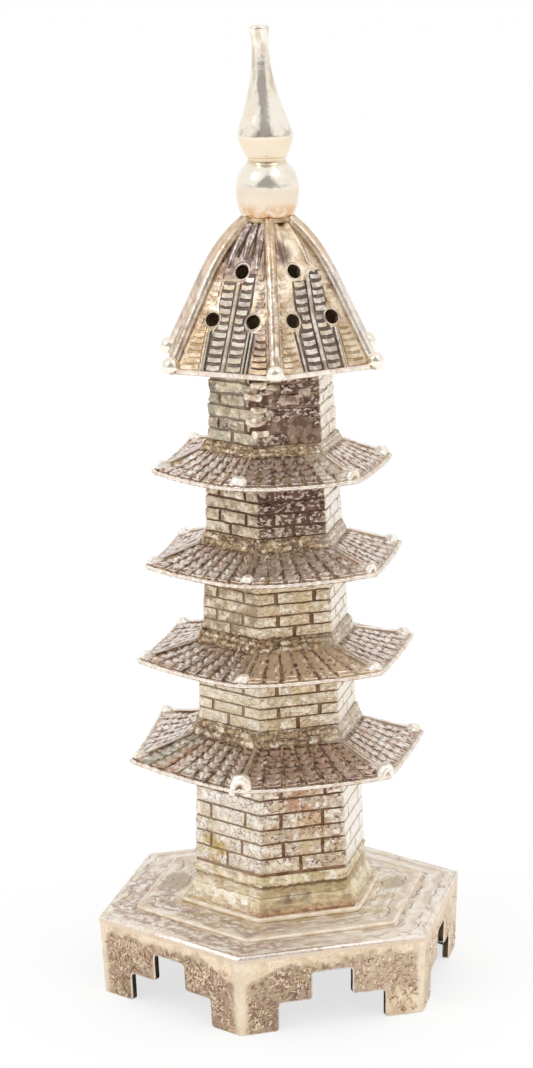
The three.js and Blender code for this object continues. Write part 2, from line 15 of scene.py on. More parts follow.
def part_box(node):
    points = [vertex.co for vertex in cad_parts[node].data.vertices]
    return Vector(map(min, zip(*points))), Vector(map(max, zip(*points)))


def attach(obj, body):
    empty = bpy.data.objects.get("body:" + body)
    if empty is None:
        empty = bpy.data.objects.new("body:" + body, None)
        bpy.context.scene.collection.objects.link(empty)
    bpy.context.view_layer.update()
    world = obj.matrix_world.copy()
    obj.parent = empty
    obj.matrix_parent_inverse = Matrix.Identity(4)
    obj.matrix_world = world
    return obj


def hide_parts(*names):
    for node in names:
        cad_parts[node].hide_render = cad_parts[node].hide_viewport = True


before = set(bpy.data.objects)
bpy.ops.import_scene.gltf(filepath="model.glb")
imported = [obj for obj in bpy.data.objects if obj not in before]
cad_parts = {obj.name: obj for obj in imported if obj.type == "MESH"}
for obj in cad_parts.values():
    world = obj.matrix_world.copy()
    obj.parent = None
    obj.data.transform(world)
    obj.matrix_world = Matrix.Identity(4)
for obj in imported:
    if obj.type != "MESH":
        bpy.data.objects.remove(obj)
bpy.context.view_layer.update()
noise.seed_set(1)                           # or noise_vector would start from the clock

MM = 0.001
SIDES = 6
FLAT = math.cos(math.pi / SIDES)            # distance to a flat, as a share of distance to a corner
UP = Vector((0, 0, 1))

# Camera, fitted to the photograph
CAMERA_AZIMUTH = 13.137
CAMERA_ELEVATION = 13.27
CAMERA_ROLL = -1.18
CAMERA_DISTANCE = 337.4 * MM
CAMERA_LENS = 109.82
CAMERA_SENSOR = 36
AIM_HEIGHT = 47.72 * MM
AIM_SIDE = -0.81 * MM

# Surroundings: a white tent with a dim opening above the lens, angles in degrees
FLOOR_SIZE = 4
SHADOW_SOFTENING = 0.72                     # how much of the paper the camera sees through
PAPER_COLOUR = (0.985, 0.985, 0.985, 1)
TENT_LEVEL = 0.94                           # in reflections
OPENING_AZIMUTH = 13
OPENING_SPREAD = 54                         # half its width at the level of the floor
OPENING_SOFTNESS = 8
OPENING_NARROWING = 0.9                     # what it loses with each degree upwards
OPENING_UNEVENNESS = 34
OPENING_LEVEL = 0.46
TABLE_LINE = 6                              # height of the table's far edge
TABLE_LINE_DEPTH = 0.3
LAMP_DISTANCE = 0.6
LAMP_SIZE = 0.25
SOFT_LAMPS = ((-50, 45, 0.35), (65, 55, 0.2))    # azimuth, elevation and power

# Base
CORNER_ROUNDING = 0.3 * MM
CUT_EDGE = 0.13 * MM                        # the rubbed edge along the cuts of the apron
STEP_EDGE = 0.12 * MM
STEP_BEAD = 0.62                            # the bead on a step, as a share of its height
STEP_POINTS = 14
BAND_HEIGHT = 1.1 * MM                      # the upright band at the top of the plinth
DASH_TRIES = 1700                           # for each side
DASH_SHARES = (0.62, 0.3, 0.62, 0.62, 0.62, 0.62)    # of the tries that leave a dash, side by side
DASH_TOP = 1.2 * MM                         # the plain borders of the apron
DASH_END = 0.9 * MM
DASH_MARGIN = 0.42 * MM
PLAIN_CORNER = Vector((0, -19.6, 7.6))      # in millimetres; round it the apron is worn plain
DASH_LENGTH = (0.26, 0.72)
DASH_WIDTH = 0.24
DASH_RISE = 0.11

# Bricks of the five storeys
BRICK_COURSES = {1: 8, 2: 6, 3: 7, 4: 6, 5: 6}
BRICK_START = {1: 0.25 * MM, 2: 0, 3: 0, 4: 0, 5: 0}
BRICK_GAP = {1: 0.085, 2: 0.065, 3: 0.07, 4: 0.1, 5: 0.12}      # half of a level joint, in millimetres
VERTICAL_JOINT = {1: 0.36, 2: 0.42, 3: 0.42, 4: 0.36, 5: 0.4}
BRICK_ROUGHNESS = {1: 0.045, 2: 0.045, 3: 0.06, 4: 0.1, 5: 0.13}
BRICK_SINK = 0.04 * MM                      # how deep a brick's back lies in the wall
BRICK_PROUD = 0.11 * MM
BRICK_ROUNDING = 0.045 * MM
BARE_STOREY = 5                             # part of its front is worn smooth; where, in millimetres
BARE_OUTWARD = Vector((0.5, -0.866, 0))
BARE_ACROSS = Vector((0.866, 0.5, 0))
BARE_SHIFT = 0.5
BARE_HEIGHT = 59.8
BARE_WIDTH = 2.2
BARE_TALL = 1.5

# Lumps on the top storey: azimuth, height, width and how tall, in millimetres
CORNER_LUMPS = ((2, 59.5, 1.9, 0.85), (-3, 60.75, 2.3, 0.95), (1, 62.05, 1.8, 0.8), (-5, 63.3, 2.2, 0.85),
                (1, 64.55, 1.9, 0.75))
FRONT_LUMPS = ((31, 62.85, 2.5, 1.25), (46, 63.5, 1.4, 1.1), (15, 64.2, 1.6, 0.8), (17, 61.0, 1.0, 0.7))

# Eaves
TILE_COLUMNS = 7
TILE_PITCH = 0.86 * MM
TILE_RISE = 0.21 * MM
TILE_RISES = (0.35, 0.8, 0.9, 1.0, 1.1, 1.2, 1.3)
TILE_GAP_SHARE = 0.13                       # of a column's width, on either side
END_TILE = 1.05 * MM
HIP_SHARE = 0.03                            # of a side, kept free for the wire on a hip
HIP_WIRE = 0.16 * MM
RIM_BEAD = 0.23 * MM
RIM_POINTS = 60
NECK_SPREAD = 0.75 * MM                     # from the wall above to the foot of an eave's neck
NECK_ROWS = 3
NECK_STONE = (0.06, 0.13)                   # width, as a share of a side
NECK_STONE_GAP = 0.012
NECK_STONE_RISE = 0.11 * MM
MISSING_STONES = 0.12

# Knobs on the tips of the eaves, in millimetres: width, depth and height
KNOB_DROP = 0.35 * MM
KNOB_SIZE = (1.35, 1.9, 1.25)
KNOB_SIZES = {(1, 0): (2.2, 1.9, 2.2), (1, 1): (1.7, 2.9, 1.7), (2, 0): (1.7, 1.8, 1.3),
              (3, 0): (1.4, 1.7, 1.2), (4, 0): (1.8, 1.8, 1.4)}
CURLED_KNOBS = ((1, 0), (1, 1), (3, 1), (4, 1))
CURL = ((-0.48, -0.5, 0.6), (-0.36, -0.28, 0.8), (-0.25, 0.0, 0.95), (-0.12, 0.22, 1.15), (0.08, 0.27, 1.2),
        (0.24, 0.12, 1.05), (0.28, -0.16, 1.0), (0.25, -0.5, 0.85))     # across, up and how thick

# Roof
ROOF_PROBE_DEGREES = 25                     # off the middle of a flat, where no hole is in the way
ROOF_STEPS = 160
STRAY_SIDE = 0                              # the flat whose upper hole was drilled off the middle
STRAY_SHIFT = -0.7 * MM
STRAY_BATTEN = 0.62 * MM                    # how far the middle batten leans to make room for it
UPPER_HOLE_RISE = 10 * MM
LOWER_HOLE_RISE = 5.4 * MM
LOWER_HOLE_SHIFT = 2.3 * MM
HOLE_SURROUND = 0.95 * MM
HOLE_RIM = 0.82 * MM
HOLE_POINTS = 20
RIM_HEIGHT = 0.55 * MM
STRIP_DEPTH = 0.15 * MM
BAR_PITCH = 0.77 * MM
BAR_THICKNESS = 0.56 * MM
BAR_RISE = 0.17 * MM
BAR_BOW = 0.08 * MM
SCALLOP_PITCH = 0.62 * MM
SCALLOP_THICKNESS = 0.52 * MM
SCALLOP_END = 0.85 * MM                     # from the rib
BATTEN_WIDTH = 0.44 * MM
SIDE_BATTEN = 2.3 * MM                      # from the middle of a flat to the side battens
SIDE_BATTEN_WIDTH = 0.26 * MM
FLUTE_RADIUS = 0.46 * MM
FLUTE_HEAD = 14.3 * MM
GROOVE_HALF = 0.14 * MM                     # half of its width
GROOVE_HEAD = 14.2 * MM
RIM_BAND_END = 0.1 * MM                     # from the corners
HOOK = ((0.56, 8.9), (0.6, 9.35), (0.72, 9.7), (0.98, 9.92), (1.3, 9.95), (1.6, 9.8))
RIB_RADIUS = 0.56 * MM
RIB_POINTS = 24
BALL_RADIUS = 0.92 * MM

# Finial: the soft fillet in its waist, and the bottle's radii and heights, in millimetres and degrees
WAIST_FILLET = 0.5
WAIST_FILLET_OUT = 0.64
WAIST_FILLET_UP = 0.154
WAIST_FILLET_ARC = (238, 148)
SOLDER_RADIUS = 0.3 * MM
BOTTLE = ((1.8, 0.0), (2.15, 0.62), (2.5, 1.35), (2.74, 2.05), (2.85, 2.62), (2.84, 2.72), (2.66, 3.35),
          (2.28, 4.45), (1.85, 5.65), (1.42, 7.1), (1.12, 8.6), (0.94, 10.0), (0.86, 11.1), (0.88, 12.1),
          (0.96, 12.8), (1.03, 13.25), (1.0, 13.45), (0.8, 13.58), (0.4, 13.62), (0.02, 13.63))

# Colours as they look on a screen, and heights in millimetres over which a finish changes
WHITE_CREAM = (252, 244, 230)
CREAM = (246, 233, 212)
PALE_PINK = (240, 225, 215)
BROWN = (126, 98, 80)
ABOVE_STOREY_1 = (27, 29)
FROM_STOREY_4 = (46, 50)
FROM_STOREY_5 = (57, 58)
LONG = (1, 1, 0.22)                         # stretch of a pattern that runs up and down
LONGISH = (1, 1, 0.4)


# Tools for modelling

def alone(piece):
    """Select one piece and nothing else."""
    if bpy.context.object and bpy.context.object.mode != "OBJECT":
        bpy.ops.object.mode_set(mode="OBJECT")
    bpy.ops.object.select_all(action="DESELECT")
    piece.select_set(True)
    bpy.context.view_layer.objects.active = piece


@contextmanager
def editing(piece, mode="FACE"):
    """Edit mode, with all of the piece selected."""
    alone(piece)
    bpy.ops.object.mode_set(mode="EDIT")
    bpy.ops.mesh.select_mode(type=mode)
    pick_all()
    yield
    bpy.ops.object.mode_set(mode="OBJECT")


def pick_all():
    bpy.ops.mesh.select_all(action="SELECT")


def pick(piece, test, kind="faces"):
    """In edit mode, select just the faces, edges or vertices that pass a test."""
    bpy.ops.mesh.select_all(action="DESELECT")
    mesh = bmesh.from_edit_mesh(piece.data)
    for part in getattr(mesh, kind):
        if test(part):
            part.select_set(True)
    bmesh.update_edit_mesh(piece.data, loop_triangles=False, destructive=False)


def modify(piece, kind, **settings):
    alone(piece)
    modifier = piece.modifiers.new(kind.title(), kind)
    for key, value in settings.items():
        setattr(modifier, key, value)
    bpy.ops.object.modifier_apply(modifier=modifier.name)


def bevel(piece, width, segments=2, degrees=35, rubbed=False):
    """Round the sharp edges. Rubbed edges take the piece's second material."""
    modify(piece, "BEVEL", width=width, segments=segments, limit_method="ANGLE",
           angle_limit=math.radians(degrees), use_clamp_overlap=True, material=1 if rubbed else -1)


def subdivide(piece, cuts, smoothness=0.0):
    with editing(piece):
        bpy.ops.mesh.subdivide(number_cuts=cuts, smoothness=smoothness)


def newest(name):
    """The piece that an operator has just added, with its place moved into its mesh."""
    piece = bpy.context.object
    piece.name = name
    piece.data.name = name
    alone(piece)
    bpy.ops.object.transform_apply(location=True, rotation=True, scale=True)
    return piece


def new_piece(name, data):
    piece = bpy.data.objects.new(name, data)
    bpy.context.scene.collection.objects.link(piece)
    return piece


def from_points(name, points, edges=(), faces=()):
    mesh = bpy.data.meshes.new(name)
    mesh.from_pydata(points, edges, faces)
    return new_piece(name, mesh)


def fix_normals(piece):
    with editing(piece):
        bpy.ops.mesh.normals_make_consistent(inside=False)
    return piece


def settle(piece, degrees, body, materials, stands_for=()):
    """Shade a finished piece smooth and give it its materials, by its faces' numbers, and its body."""
    alone(piece)
    bpy.ops.object.shade_smooth_by_angle(angle=math.radians(degrees))
    if not isinstance(materials, tuple):
        materials = (materials,)
    numbers = [min(face.material_index, len(materials) - 1) for face in piece.data.polygons]
    piece.data.materials.clear()
    for material in materials:
        piece.data.materials.append(material)
    piece.data.polygons.foreach_set("material_index", numbers)
    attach(piece, body)
    if stands_for:
        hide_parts(*stands_for)


def number_faces(piece, rule):
    """Give each face the number of its material by a rule."""
    piece.data.polygons.foreach_set("material_index", [rule(face) for face in piece.data.polygons])


def copy_node(node, name, flat_faces=True):
    """A welded copy of one solid of the model, to be refined, with room for three materials."""
    piece = new_piece(name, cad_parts[node].data.copy())
    piece.data.materials.clear()
    for _ in range(3):
        piece.data.materials.append(None)
    with editing(piece):
        bpy.ops.mesh.remove_doubles(threshold=0.001 * MM)
        if flat_faces:
            bpy.ops.mesh.dissolve_limited(angle_limit=math.radians(0.5))
    return piece


def scatter(name, model, places):
    """One piece made of many copies of a model, each bent into its place by a function."""
    source = model.data
    count = len(source.vertices)
    points = [place(vertex.co) for place in places for vertex in source.vertices]
    faces = [tuple(copy * count + index for index in face.vertices)
             for copy in range(len(places)) for face in source.polygons]
    piece = from_points(name, points, faces=faces)
    if "wear" in source.attributes:
        set_wear(piece, [value.value for value in source.attributes["wear"].data] * len(places))
    return fix_normals(piece)


def set_wear(piece, values):
    """How bright each point of a tile is rubbed."""
    piece.data.attributes.new("wear", "FLOAT", "POINT").data.foreach_set("value", values)


def join(name, pieces):
    alone(pieces[0])
    for piece in pieces[1:]:
        piece.select_set(True)
    bpy.ops.object.join()
    pieces[0].name = name
    return pieces[0]


def wire(name, points, radius, radii=None, closed=False, roundness=2):
    """A round wire along a line of points, as a closed mesh."""
    curve = bpy.data.curves.new(name, "CURVE")
    curve.dimensions = "3D"
    curve.bevel_depth = radius
    curve.bevel_resolution = roundness
    curve.use_fill_caps = True
    line = curve.splines.new("POLY")
    line.points.add(len(points) - 1)
    for index, point in enumerate(points):
        line.points[index].co = (*point, 1)
        line.points[index].radius = radii[index] if radii else 1
    line.use_cyclic_u = closed
    alone(new_piece(name, curve))
    bpy.ops.object.convert(target="MESH")
    return bpy.context.object


def direction(degrees):
    """A level direction, counted from -Y towards +X."""
    angle = math.radians(degrees)
    return Vector((math.sin(angle), -math.cos(angle), 0))


def square_to(outward):
    """The level direction to the right of one that looks away from the axis."""
    return Vector((-outward.y, outward.x, 0))


def limit(value, low=0.0, high=1.0):
    return max(low, min(high, value))


def solid(node):
    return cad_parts[node].data


def skin(node):
    mesh = solid(node)
    faces = [face.vertices for face in mesh.polygons]
    return BVHTree.FromPolygons([vertex.co for vertex in mesh.vertices], faces)


def ring_radius(node, height):
    return max(math.hypot(*v.co.xy) for v in solid(node).vertices if abs(v.co.z - height) < 0.01 * MM)


# Materials

class Value:
    """A number that nodes work out. *, + and - join two, | takes the greater, and ~ is what is left of 1."""

    def __init__(self, tree, socket):
        self.tree = tree
        self.socket = socket

    def __mul__(self, other):
        return self.tree.calc("MULTIPLY", self, other)

    def __add__(self, other):
        return self.tree.calc("ADD", self, other)

    def __sub__(self, other):
        return self.tree.calc("SUBTRACT", self, other)

    def __rsub__(self, other):
        return self.tree.calc("SUBTRACT", other, self)

    def __or__(self, other):
        return self.tree.calc("MAXIMUM", self, other)

    def __invert__(self):
        return 1.0 - self

    def __abs__(self):
        return self.tree.calc("ABSOLUTE", self)

    __rmul__ = __mul__
    __radd__ = __add__


class Tree:
    """The nodes of a material or of the world."""

    def __init__(self, owner):
        owner.use_nodes = True
        self.nodes = owner.node_tree.nodes
        self.links = owner.node_tree.links

    def found(self, kind):
        return next(node for node in self.nodes if node.type == kind)

    def add(self, kind, inputs, **settings):
        node = self.nodes.new(f"ShaderNode{kind}")
        for key, value in settings.items():
            setattr(node, key, value)
        for key, value in inputs.items():
            self.put(node.inputs[key], value)
        return node

    def put(self, socket, value):
        value = value.socket if isinstance(value, Value) else value
        if isinstance(value, bpy.types.NodeSocket):
            self.links.new(value, socket)
        else:
            socket.default_value = value

    def calc(self, operation, first, second=0.0):
        return Value(self, self.add("Math", {0: first, 1: second}, operation=operation).outputs["Value"])

    def ramp(self, value, low, high):
        """0 at low, 1 at high, and smooth between."""
        inputs = {"Value": value, "From Min": low, "From Max": high}
        return Value(self, self.add("MapRange", inputs, interpolation_type="SMOOTHSTEP").outputs["Result"])


class Finish(Tree):
    """A worked metal. Its patterns are laid out in millimetres on the piece's own coordinates."""

    def __init__(self, name, metallic=1.0):
        self.material = bpy.data.materials.new(name)
        super().__init__(self.material)
        self.shader = self.found("BSDF_PRINCIPLED")
        self.shader.inputs["Metallic"].default_value = metallic
        self.object_place = self.add("TexCoord", {}).outputs["Object"]
        self.place = self.mapped(1 / MM)
        self.colour = None

    def mapped(self, scale, shift=0.0, stretch=(1, 1, 1)):
        inputs = {"Vector": self.object_place, "Location": (shift, shift * 0.7, shift * 1.3),
                  "Scale": tuple(scale * share for share in stretch)}
        return self.add("Mapping", inputs).outputs["Vector"]

    def cloud(self, seed, size, detail=3.0, roughness=0.55, stretch=(1, 1, 1)):
        """Noise with features of a size in millimetres."""
        place = self.mapped(1 / (size * MM), seed, stretch)
        inputs = {"Vector": place, "Scale": 1, "Detail": detail, "Roughness": roughness}
        return Value(self, self.add("TexNoise", inputs).outputs["Fac"])

    def patches(self, seed, size, low, high, detail=3.0, stretch=(1, 1, 1)):
        return self.ramp(self.cloud(seed, size, detail, stretch=stretch), low, high)

    def squiggles(self, seed, size, width, detail=3.0):
        """Thin winding lines, such as wear leaves round patches."""
        return self.ramp(abs(self.cloud(seed, size, detail) - 0.5), width, width * 0.35)

    def vector(self, operation, first, second=(0, 0, 0), output="Value"):
        socket = self.add("VectorMath", {0: first, 1: second}, operation=operation).outputs[output]
        return socket if output == "Vector" else Value(self, socket)

    def level_place(self):
        return self.vector("MULTIPLY", self.place, (1, 1, 0), "Vector")

    def up(self):
        """How high a point lies, in millimetres."""
        return Value(self, self.add("SeparateXYZ", {"Vector": self.place}).outputs["Z"])

    def out(self):
        """How far a point lies from the axis, in millimetres."""
        return self.vector("LENGTH", self.level_place())

    def from_flats(self):
        """How far out a point lies, counted square to the six flats, in millimetres."""
        first, second, third = (abs(self.vector("DOT_PRODUCT", self.place, direction(degrees)))
                                for degrees in (30, 90, 150))
        return first | second | third

    def rings(self, seed, spacing, width, wander):
        """Winding lines that run round the object, along the six flats."""
        value = self.from_flats() * (1 / spacing) + self.cloud(seed, 2.4, detail=5) * wander
        return self.ramp(self.calc("PINGPONG", value, 0.5), width, width * 0.4)

    def height(self, low, high):
        """0 below low and 1 above high, in millimetres up the object."""
        return self.ramp(self.up(), low, high)

    def band(self, low, full, fading, high):
        """1 between two heights and 0 outside them."""
        return self.height(low, full) * ~self.height(fading, high)

    def side(self, degrees, spread=30.0, softness=0.02):
        """1 on what lies within a spread of a level direction from the axis."""
        outward = self.vector("NORMALIZE", self.level_place(), output="Vector")
        edge = math.cos(math.radians(spread))
        toward = self.vector("DOT_PRODUCT", outward, direction(degrees))
        return self.ramp(toward, edge - softness, edge + softness)

    def reach(self, point):
        """The distance from a point, in millimetres."""
        return self.vector("DISTANCE", self.place, point)

    def near(self, point, low, high):
        """1 nearer to a point than low and 0 past high, in millimetres."""
        return self.ramp(self.reach(point), high, low)

    def mix(self, under, over, mask):
        """One colour over another, each as it looks on a screen, 0 to 255, or the result of another mix."""
        under, over = (tuple(map(linear, colour)) + (1.0,) if isinstance(colour, tuple) else colour
                       for colour in (under, over))
        return self.add("Mix", {0: mask, 6: under, 7: over}, data_type="RGBA").outputs[2]

    def start(self, under, over, mask):
        self.colour = self.mix(under, over, mask)

    def tint(self, colour, mask):
        self.colour = self.mix(self.colour, colour, mask)

    def blend(self, under, over, mask):
        return Value(self, self.add("Mix", {0: mask, 2: under, 3: over}, data_type="FLOAT").outputs[0])

    def done(self, roughness, relief, relief_height):
        self.put(self.shader.inputs["Base Color"], self.colour)
        self.put(self.shader.inputs["Roughness"], roughness)
        bump = self.add("Bump", {"Strength": 1.0, "Distance": relief_height * MM, "Height": relief})
        self.links.new(bump.outputs["Normal"], self.shader.inputs["Normal"])
        return self.material


def linear(value):
    """One channel of a colour on a screen, 0 to 255, made linear for a shader."""
    share = value / 255
    return share / 12.92 if share <= 0.04045 else ((share + 0.055) / 1.055) ** 2.4


def plain_metal(name, first, second, mottle, roughness, grain, relief_height, spots=(), metallic=1.0):
    """Two mottled colours, with spots of others: each a colour, its strength and its pattern."""
    f = Finish(name, metallic)
    f.start(first, second, f.patches(*mottle))
    for colour, strength, pattern in spots:
        f.tint(colour, strength * f.patches(*pattern))
    return f.done(roughness, f.cloud(*grain), relief_height)


def polished_metal():
    f = Finish("polished_silver")
    f.start(WHITE_CREAM, CREAM, f.patches(11, 2.5, 0.45, 0.7))
    bowl = f.band(85.9, 86.6, 88.6, 89.1)
    f.tint((238, 220, 192), 0.8 * bowl)
    # Painted reflections on the ball: a yellower lower half, and the golden roof mirrored in a band at its
    # foot
    lower_half = f.band(80, 81, 83.3, 84.3)
    f.tint((234, 216, 194), 0.85 * lower_half)
    crease = f.band(88.9, 89.1, 89.3, 90.4)
    f.tint((168, 160, 142), 0.5 * crease * f.patches(6, 0.8, 0.42, 0.62))
    painted_roof_reflection = f.band(79, 80, 81.4, 82.6)
    f.tint((222, 178, 132), painted_roof_reflection * f.patches(8, 1.0, 0.34, 0.58))
    waist = f.band(86.1, 86.3, 86.5, 86.8)
    f.tint((206, 178, 132), 0.6 * waist * f.patches(12, 1.1, 0.36, 0.6))
    neck = f.height(92, 95) * f.patches(13, 0.6, 0.46, 0.64, stretch=LONG)
    f.tint((196, 178, 156), 0.6 * neck)
    smudge = f.patches(3, 1.8, 0.42, 0.68)
    return f.done(f.blend(0.09, 0.22, smudge), f.cloud(2, 0.7), 0.035)


def rib_metal():
    f = Finish("rib_silver")
    f.start((250, 236, 218), (228, 206, 186), f.patches(7, 3.0, 0.42, 0.6, detail=2))
    # Painted shade: long tan streaks stand in for dark reflections
    f.tint((170, 146, 126), 0.6 * f.patches(9, 0.7, 0.48, 0.64, detail=2, stretch=LONG))
    # Painted shade on the front rib
    f.tint((166, 140, 118), 0.6 * f.side(15, 12) * f.patches(8, 0.7, 0.46, 0.58, detail=4))
    # Painted highlight: a bright strip on the right rib
    f.tint((255, 250, 242), 0.7 * f.side(66, 9, 0.03))
    f.tint((214, 182, 146), 0.6 * f.height(75, 78))
    return f.done(f.blend(0.2, 0.34, f.patches(4, 1.2, 0.4, 0.65)), f.cloud(1, 0.9), 0.08)


def brick_metal():
    f = Finish("brick_silver", 0.85)
    left, front, right = f.side(-30), f.side(30), f.side(90)
    storey_5 = f.height(*FROM_STOREY_5)
    # Painted shade and light by side: darker mottle on the front, paler on the right and a little on the
    # left, less gold on the right
    shade = 0.4 + 0.36 * front - 0.34 * right
    f.start((255, 248, 236), (248, 234, 212), f.patches(30, 1.2, 0.4, 0.6))
    f.tint((196, 170, 142), shade * f.patches(31, 0.8, 0.42, 0.58, detail=4))
    gold = f.patches(32, 2.4, 0.5, 0.64, detail=4) * ~(0.7 * right)
    f.tint((216, 192, 150), 0.75 * gold)
    f.tint((255, 252, 248), 0.5 * right + 0.22 * left - 0.4 * storey_5)
    rust = front * f.near((4.5, -7.5, 20.5), 1.2, 4.6) * f.patches(33, 1.1, 0.44, 0.6, detail=4)
    f.tint((196, 146, 114), 0.85 * rust)
    f.tint((208, 182, 120), left * f.near((-6, -6.5, 15), 1.2, 2.8) * f.patches(29, 1.2, 0.4, 0.55))
    # The worn strokes are real wear, weighted by the painted side shade so that they are strongest on the
    # front
    strokes = f.squiggles(34, 0.8, 0.055, detail=2) * f.patches(49, 0.5, 0.48, 0.56)
    worn = strokes * f.patches(35, 1.6, 0.42, 0.54) * shade * (1 - 0.55 * f.height(*ABOVE_STOREY_1))
    f.tint((148, 110, 96), 1.6 * worn)
    f.tint((150, 124, 104), 0.95 * f.height(37, 39) * left * f.patches(38, 1.2, 0.42, 0.62))
    # Yellower above the lowest storey, less so on the right face, where the difference is painted light
    f.tint((234, 212, 168), 0.3 * f.height(*ABOVE_STOREY_1) * f.blend(1, 0.3, right))

    # Heavy tarnish on the two upper storeys; its extra share on the front is painted shade and its smaller
    # share on the right is painted light
    cover = f.cloud(36, 1.3, detail=6, roughness=0.65) + 0.27 * front
    cover = cover + left * f.blend(-0.03, 0.06, storey_5) + right * f.blend(-0.34, -0.16, storey_5)
    tarnish = f.mix((132, 103, 90), (90, 65, 55), f.patches(37, 0.7, 0.42, 0.62))
    glint = f.patches(47, 0.5, 0.5, 0.58, detail=4, stretch=(1, 1, 1.6))
    tarnish = f.mix(tarnish, (234, 214, 196), 0.8 * glint)
    tarnish = f.mix(tarnish, (172, 172, 158), left * f.height(57.5, 59) * f.patches(43, 1.6, 0.36, 0.54))
    f.tint(tarnish, f.height(*FROM_STOREY_4) * f.ramp(cover, 0.46, 0.7))
    f.tint((226, 210, 186), 0.6 * f.side(-3, 17, 0.012) * f.height(58, 59.5) * f.patches(44, 0.9, 0.4, 0.56))
    relief = f.cloud(40, 0.5, detail=4) - 0.5 * f.squiggles(34, 0.8, 0.07, detail=2)
    return f.done(f.blend(0.3, 0.5, f.patches(39, 0.8, 0.4, 0.7)), relief, 0.12)


def joint_metal():
    f = Finish("joint_tarnish")
    left, right = f.side(-30), f.side(90)
    storey_5 = f.height(*FROM_STOREY_5)
    f.start((116, 86, 64), (152, 122, 94), f.patches(41, 0.8, 0.42, 0.66))
    # Painted light: the joints are paler on the right face and a little on the left
    f.tint((214, 206, 198), 0.9 * right)
    f.tint((176, 152, 132), 0.7 * left)
    # The darker joints of the upper storeys stop short of the right face, as painted light
    deep = f.mix((110, 84, 68), (150, 134, 118), left * storey_5)
    f.tint(deep, f.height(*FROM_STOREY_4) * ~right)
    bare = f.mix((160, 134, 116), (118, 92, 79), f.patches(45, 0.9, 0.4, 0.6, detail=5))
    bare = f.mix(bare, (196, 170, 146), 0.8 * f.patches(46, 0.5, 0.6, 0.68))
    f.tint(bare, storey_5 * f.side(30))
    slot = f.height(58.4, 58.8) * f.side(-2, 12) * f.patches(48, 0.8, 0.36, 0.5)
    f.tint((98, 74, 60), slot)
    return f.done(0.45, f.cloud(42, 0.5, detail=5), 0.08)


def tile_metal():
    f = Finish("tile_silver", 0.8)
    front = f.side(30, 34, 0.06)
    lowest = ~f.height(28.5, 31)
    grime = f.mix((150, 120, 102), (106, 79, 69), f.patches(51, 0.8, 0.4, 0.6))
    bright = f.mix((255, 247, 238), (230, 206, 190), f.patches(52, 0.8, 0.42, 0.62))
    # Painted shade: the bright tops are darker on the front, most on the lowest eave
    bright = f.mix(bright, (216, 181, 162), front * (0.15 + 0.4 * lowest))
    rubbed = Value(f, f.add("Attribute", {}, attribute_name="wear").outputs["Fac"])
    # The front term is painted light and shade: brighter tops on the front of the middle eaves, duller on
    # the front of the others
    rubbed = rubbed + 1.5 * f.cloud(53, 0.6, detail=4) - 0.72 + front * (0.3 * f.band(31, 33, 50, 52) - 0.1)
    rubbed = f.ramp(rubbed, 0.05, 0.7)
    f.start(grime, bright, rubbed)
    f.tint((232, 206, 176), 0.9 * f.near((5, -10.5, 37), 2.0, 5.5) * f.patches(56, 0.7, 0.4, 0.6))
    f.tint((212, 170, 142), 0.4 * f.patches(54, 1.6, 0.54, 0.66))
    tan = f.band(34, 35.5, 41, 42) * front * f.patches(70, 0.6, 0.3, 0.48, detail=4)
    f.tint((252, 230, 204), 0.95 * tan)
    # Painted shade: the top eave darker on the front
    f.tint((104, 78, 64), 0.3 * f.height(53, 54) * front)
    # Painted glints on the tile tops, fainter on the front
    painted_glint = f.patches(68, 0.42, 0.58, 0.66)
    f.tint((255, 240, 228), f.blend(0.75, 0.5, front) * painted_glint)
    pit = f.patches(69, 0.45, 0.58, 0.66)
    f.tint((92, 68, 58), 0.7 * pit)
    white = f.height(52, 53) * f.side(50, 11) * f.patches(59, 0.9, 0.34, 0.48, detail=4)
    f.tint(WHITE_CREAM, 0.85 * white)

    # A smooth greenish strip beside the lowest eave's left hip, and a rusty one below it
    f.tint((172, 170, 150), 0.85 * lowest * f.side(-54, 6, 0.01) * f.patches(57, 1.4, 0.3, 0.5))
    f.tint((206, 158, 116), 0.8 * lowest * f.side(-46, 4, 0.008) * f.patches(58, 0.9, 0.36, 0.56))
    return f.done(f.blend(0.5, 0.32, rubbed), f.cloud(55, 0.25), 0.05)


def eave_metal():
    f = Finish("eave_tarnish", 0.6)
    grime = f.mix((146, 116, 94), (108, 82, 70), f.patches(61, 0.8, 0.42, 0.62, detail=5))
    f.start(grime, (192, 170, 132), f.patches(62, 1.0, 0.44, 0.58, detail=6))
    f.tint((236, 220, 196), 0.9 * f.patches(63, 0.5, 0.52, 0.64, detail=5))
    f.tint((98, 74, 58), 0.8 * f.squiggles(65, 0.8, 0.03))
    # Painted light: the eave sheets paler on the right side
    f.tint((226, 210, 192), 0.6 * f.side(90, 40, 0.1))
    return f.done(0.46, f.cloud(64, 0.5, detail=5), 0.16)


def neck_metal():
    """The small uneven stones on the necks of the eaves."""
    f = Finish("neck_silver", 0.6)
    f.start((206, 180, 144), (150, 120, 96), f.patches(171, 0.7, 0.42, 0.58, detail=4))
    f.tint((246, 232, 208), f.patches(172, 0.9, 0.5, 0.62, detail=4))
    f.tint((112, 84, 70), 0.8 * f.patches(173, 0.6, 0.54, 0.66))
    # Painted light: the neck stones paler on the right side
    f.tint((242, 230, 214), 0.6 * f.side(90, 36, 0.1))
    return f.done(0.38, f.cloud(174, 0.3, detail=4), 0.07)


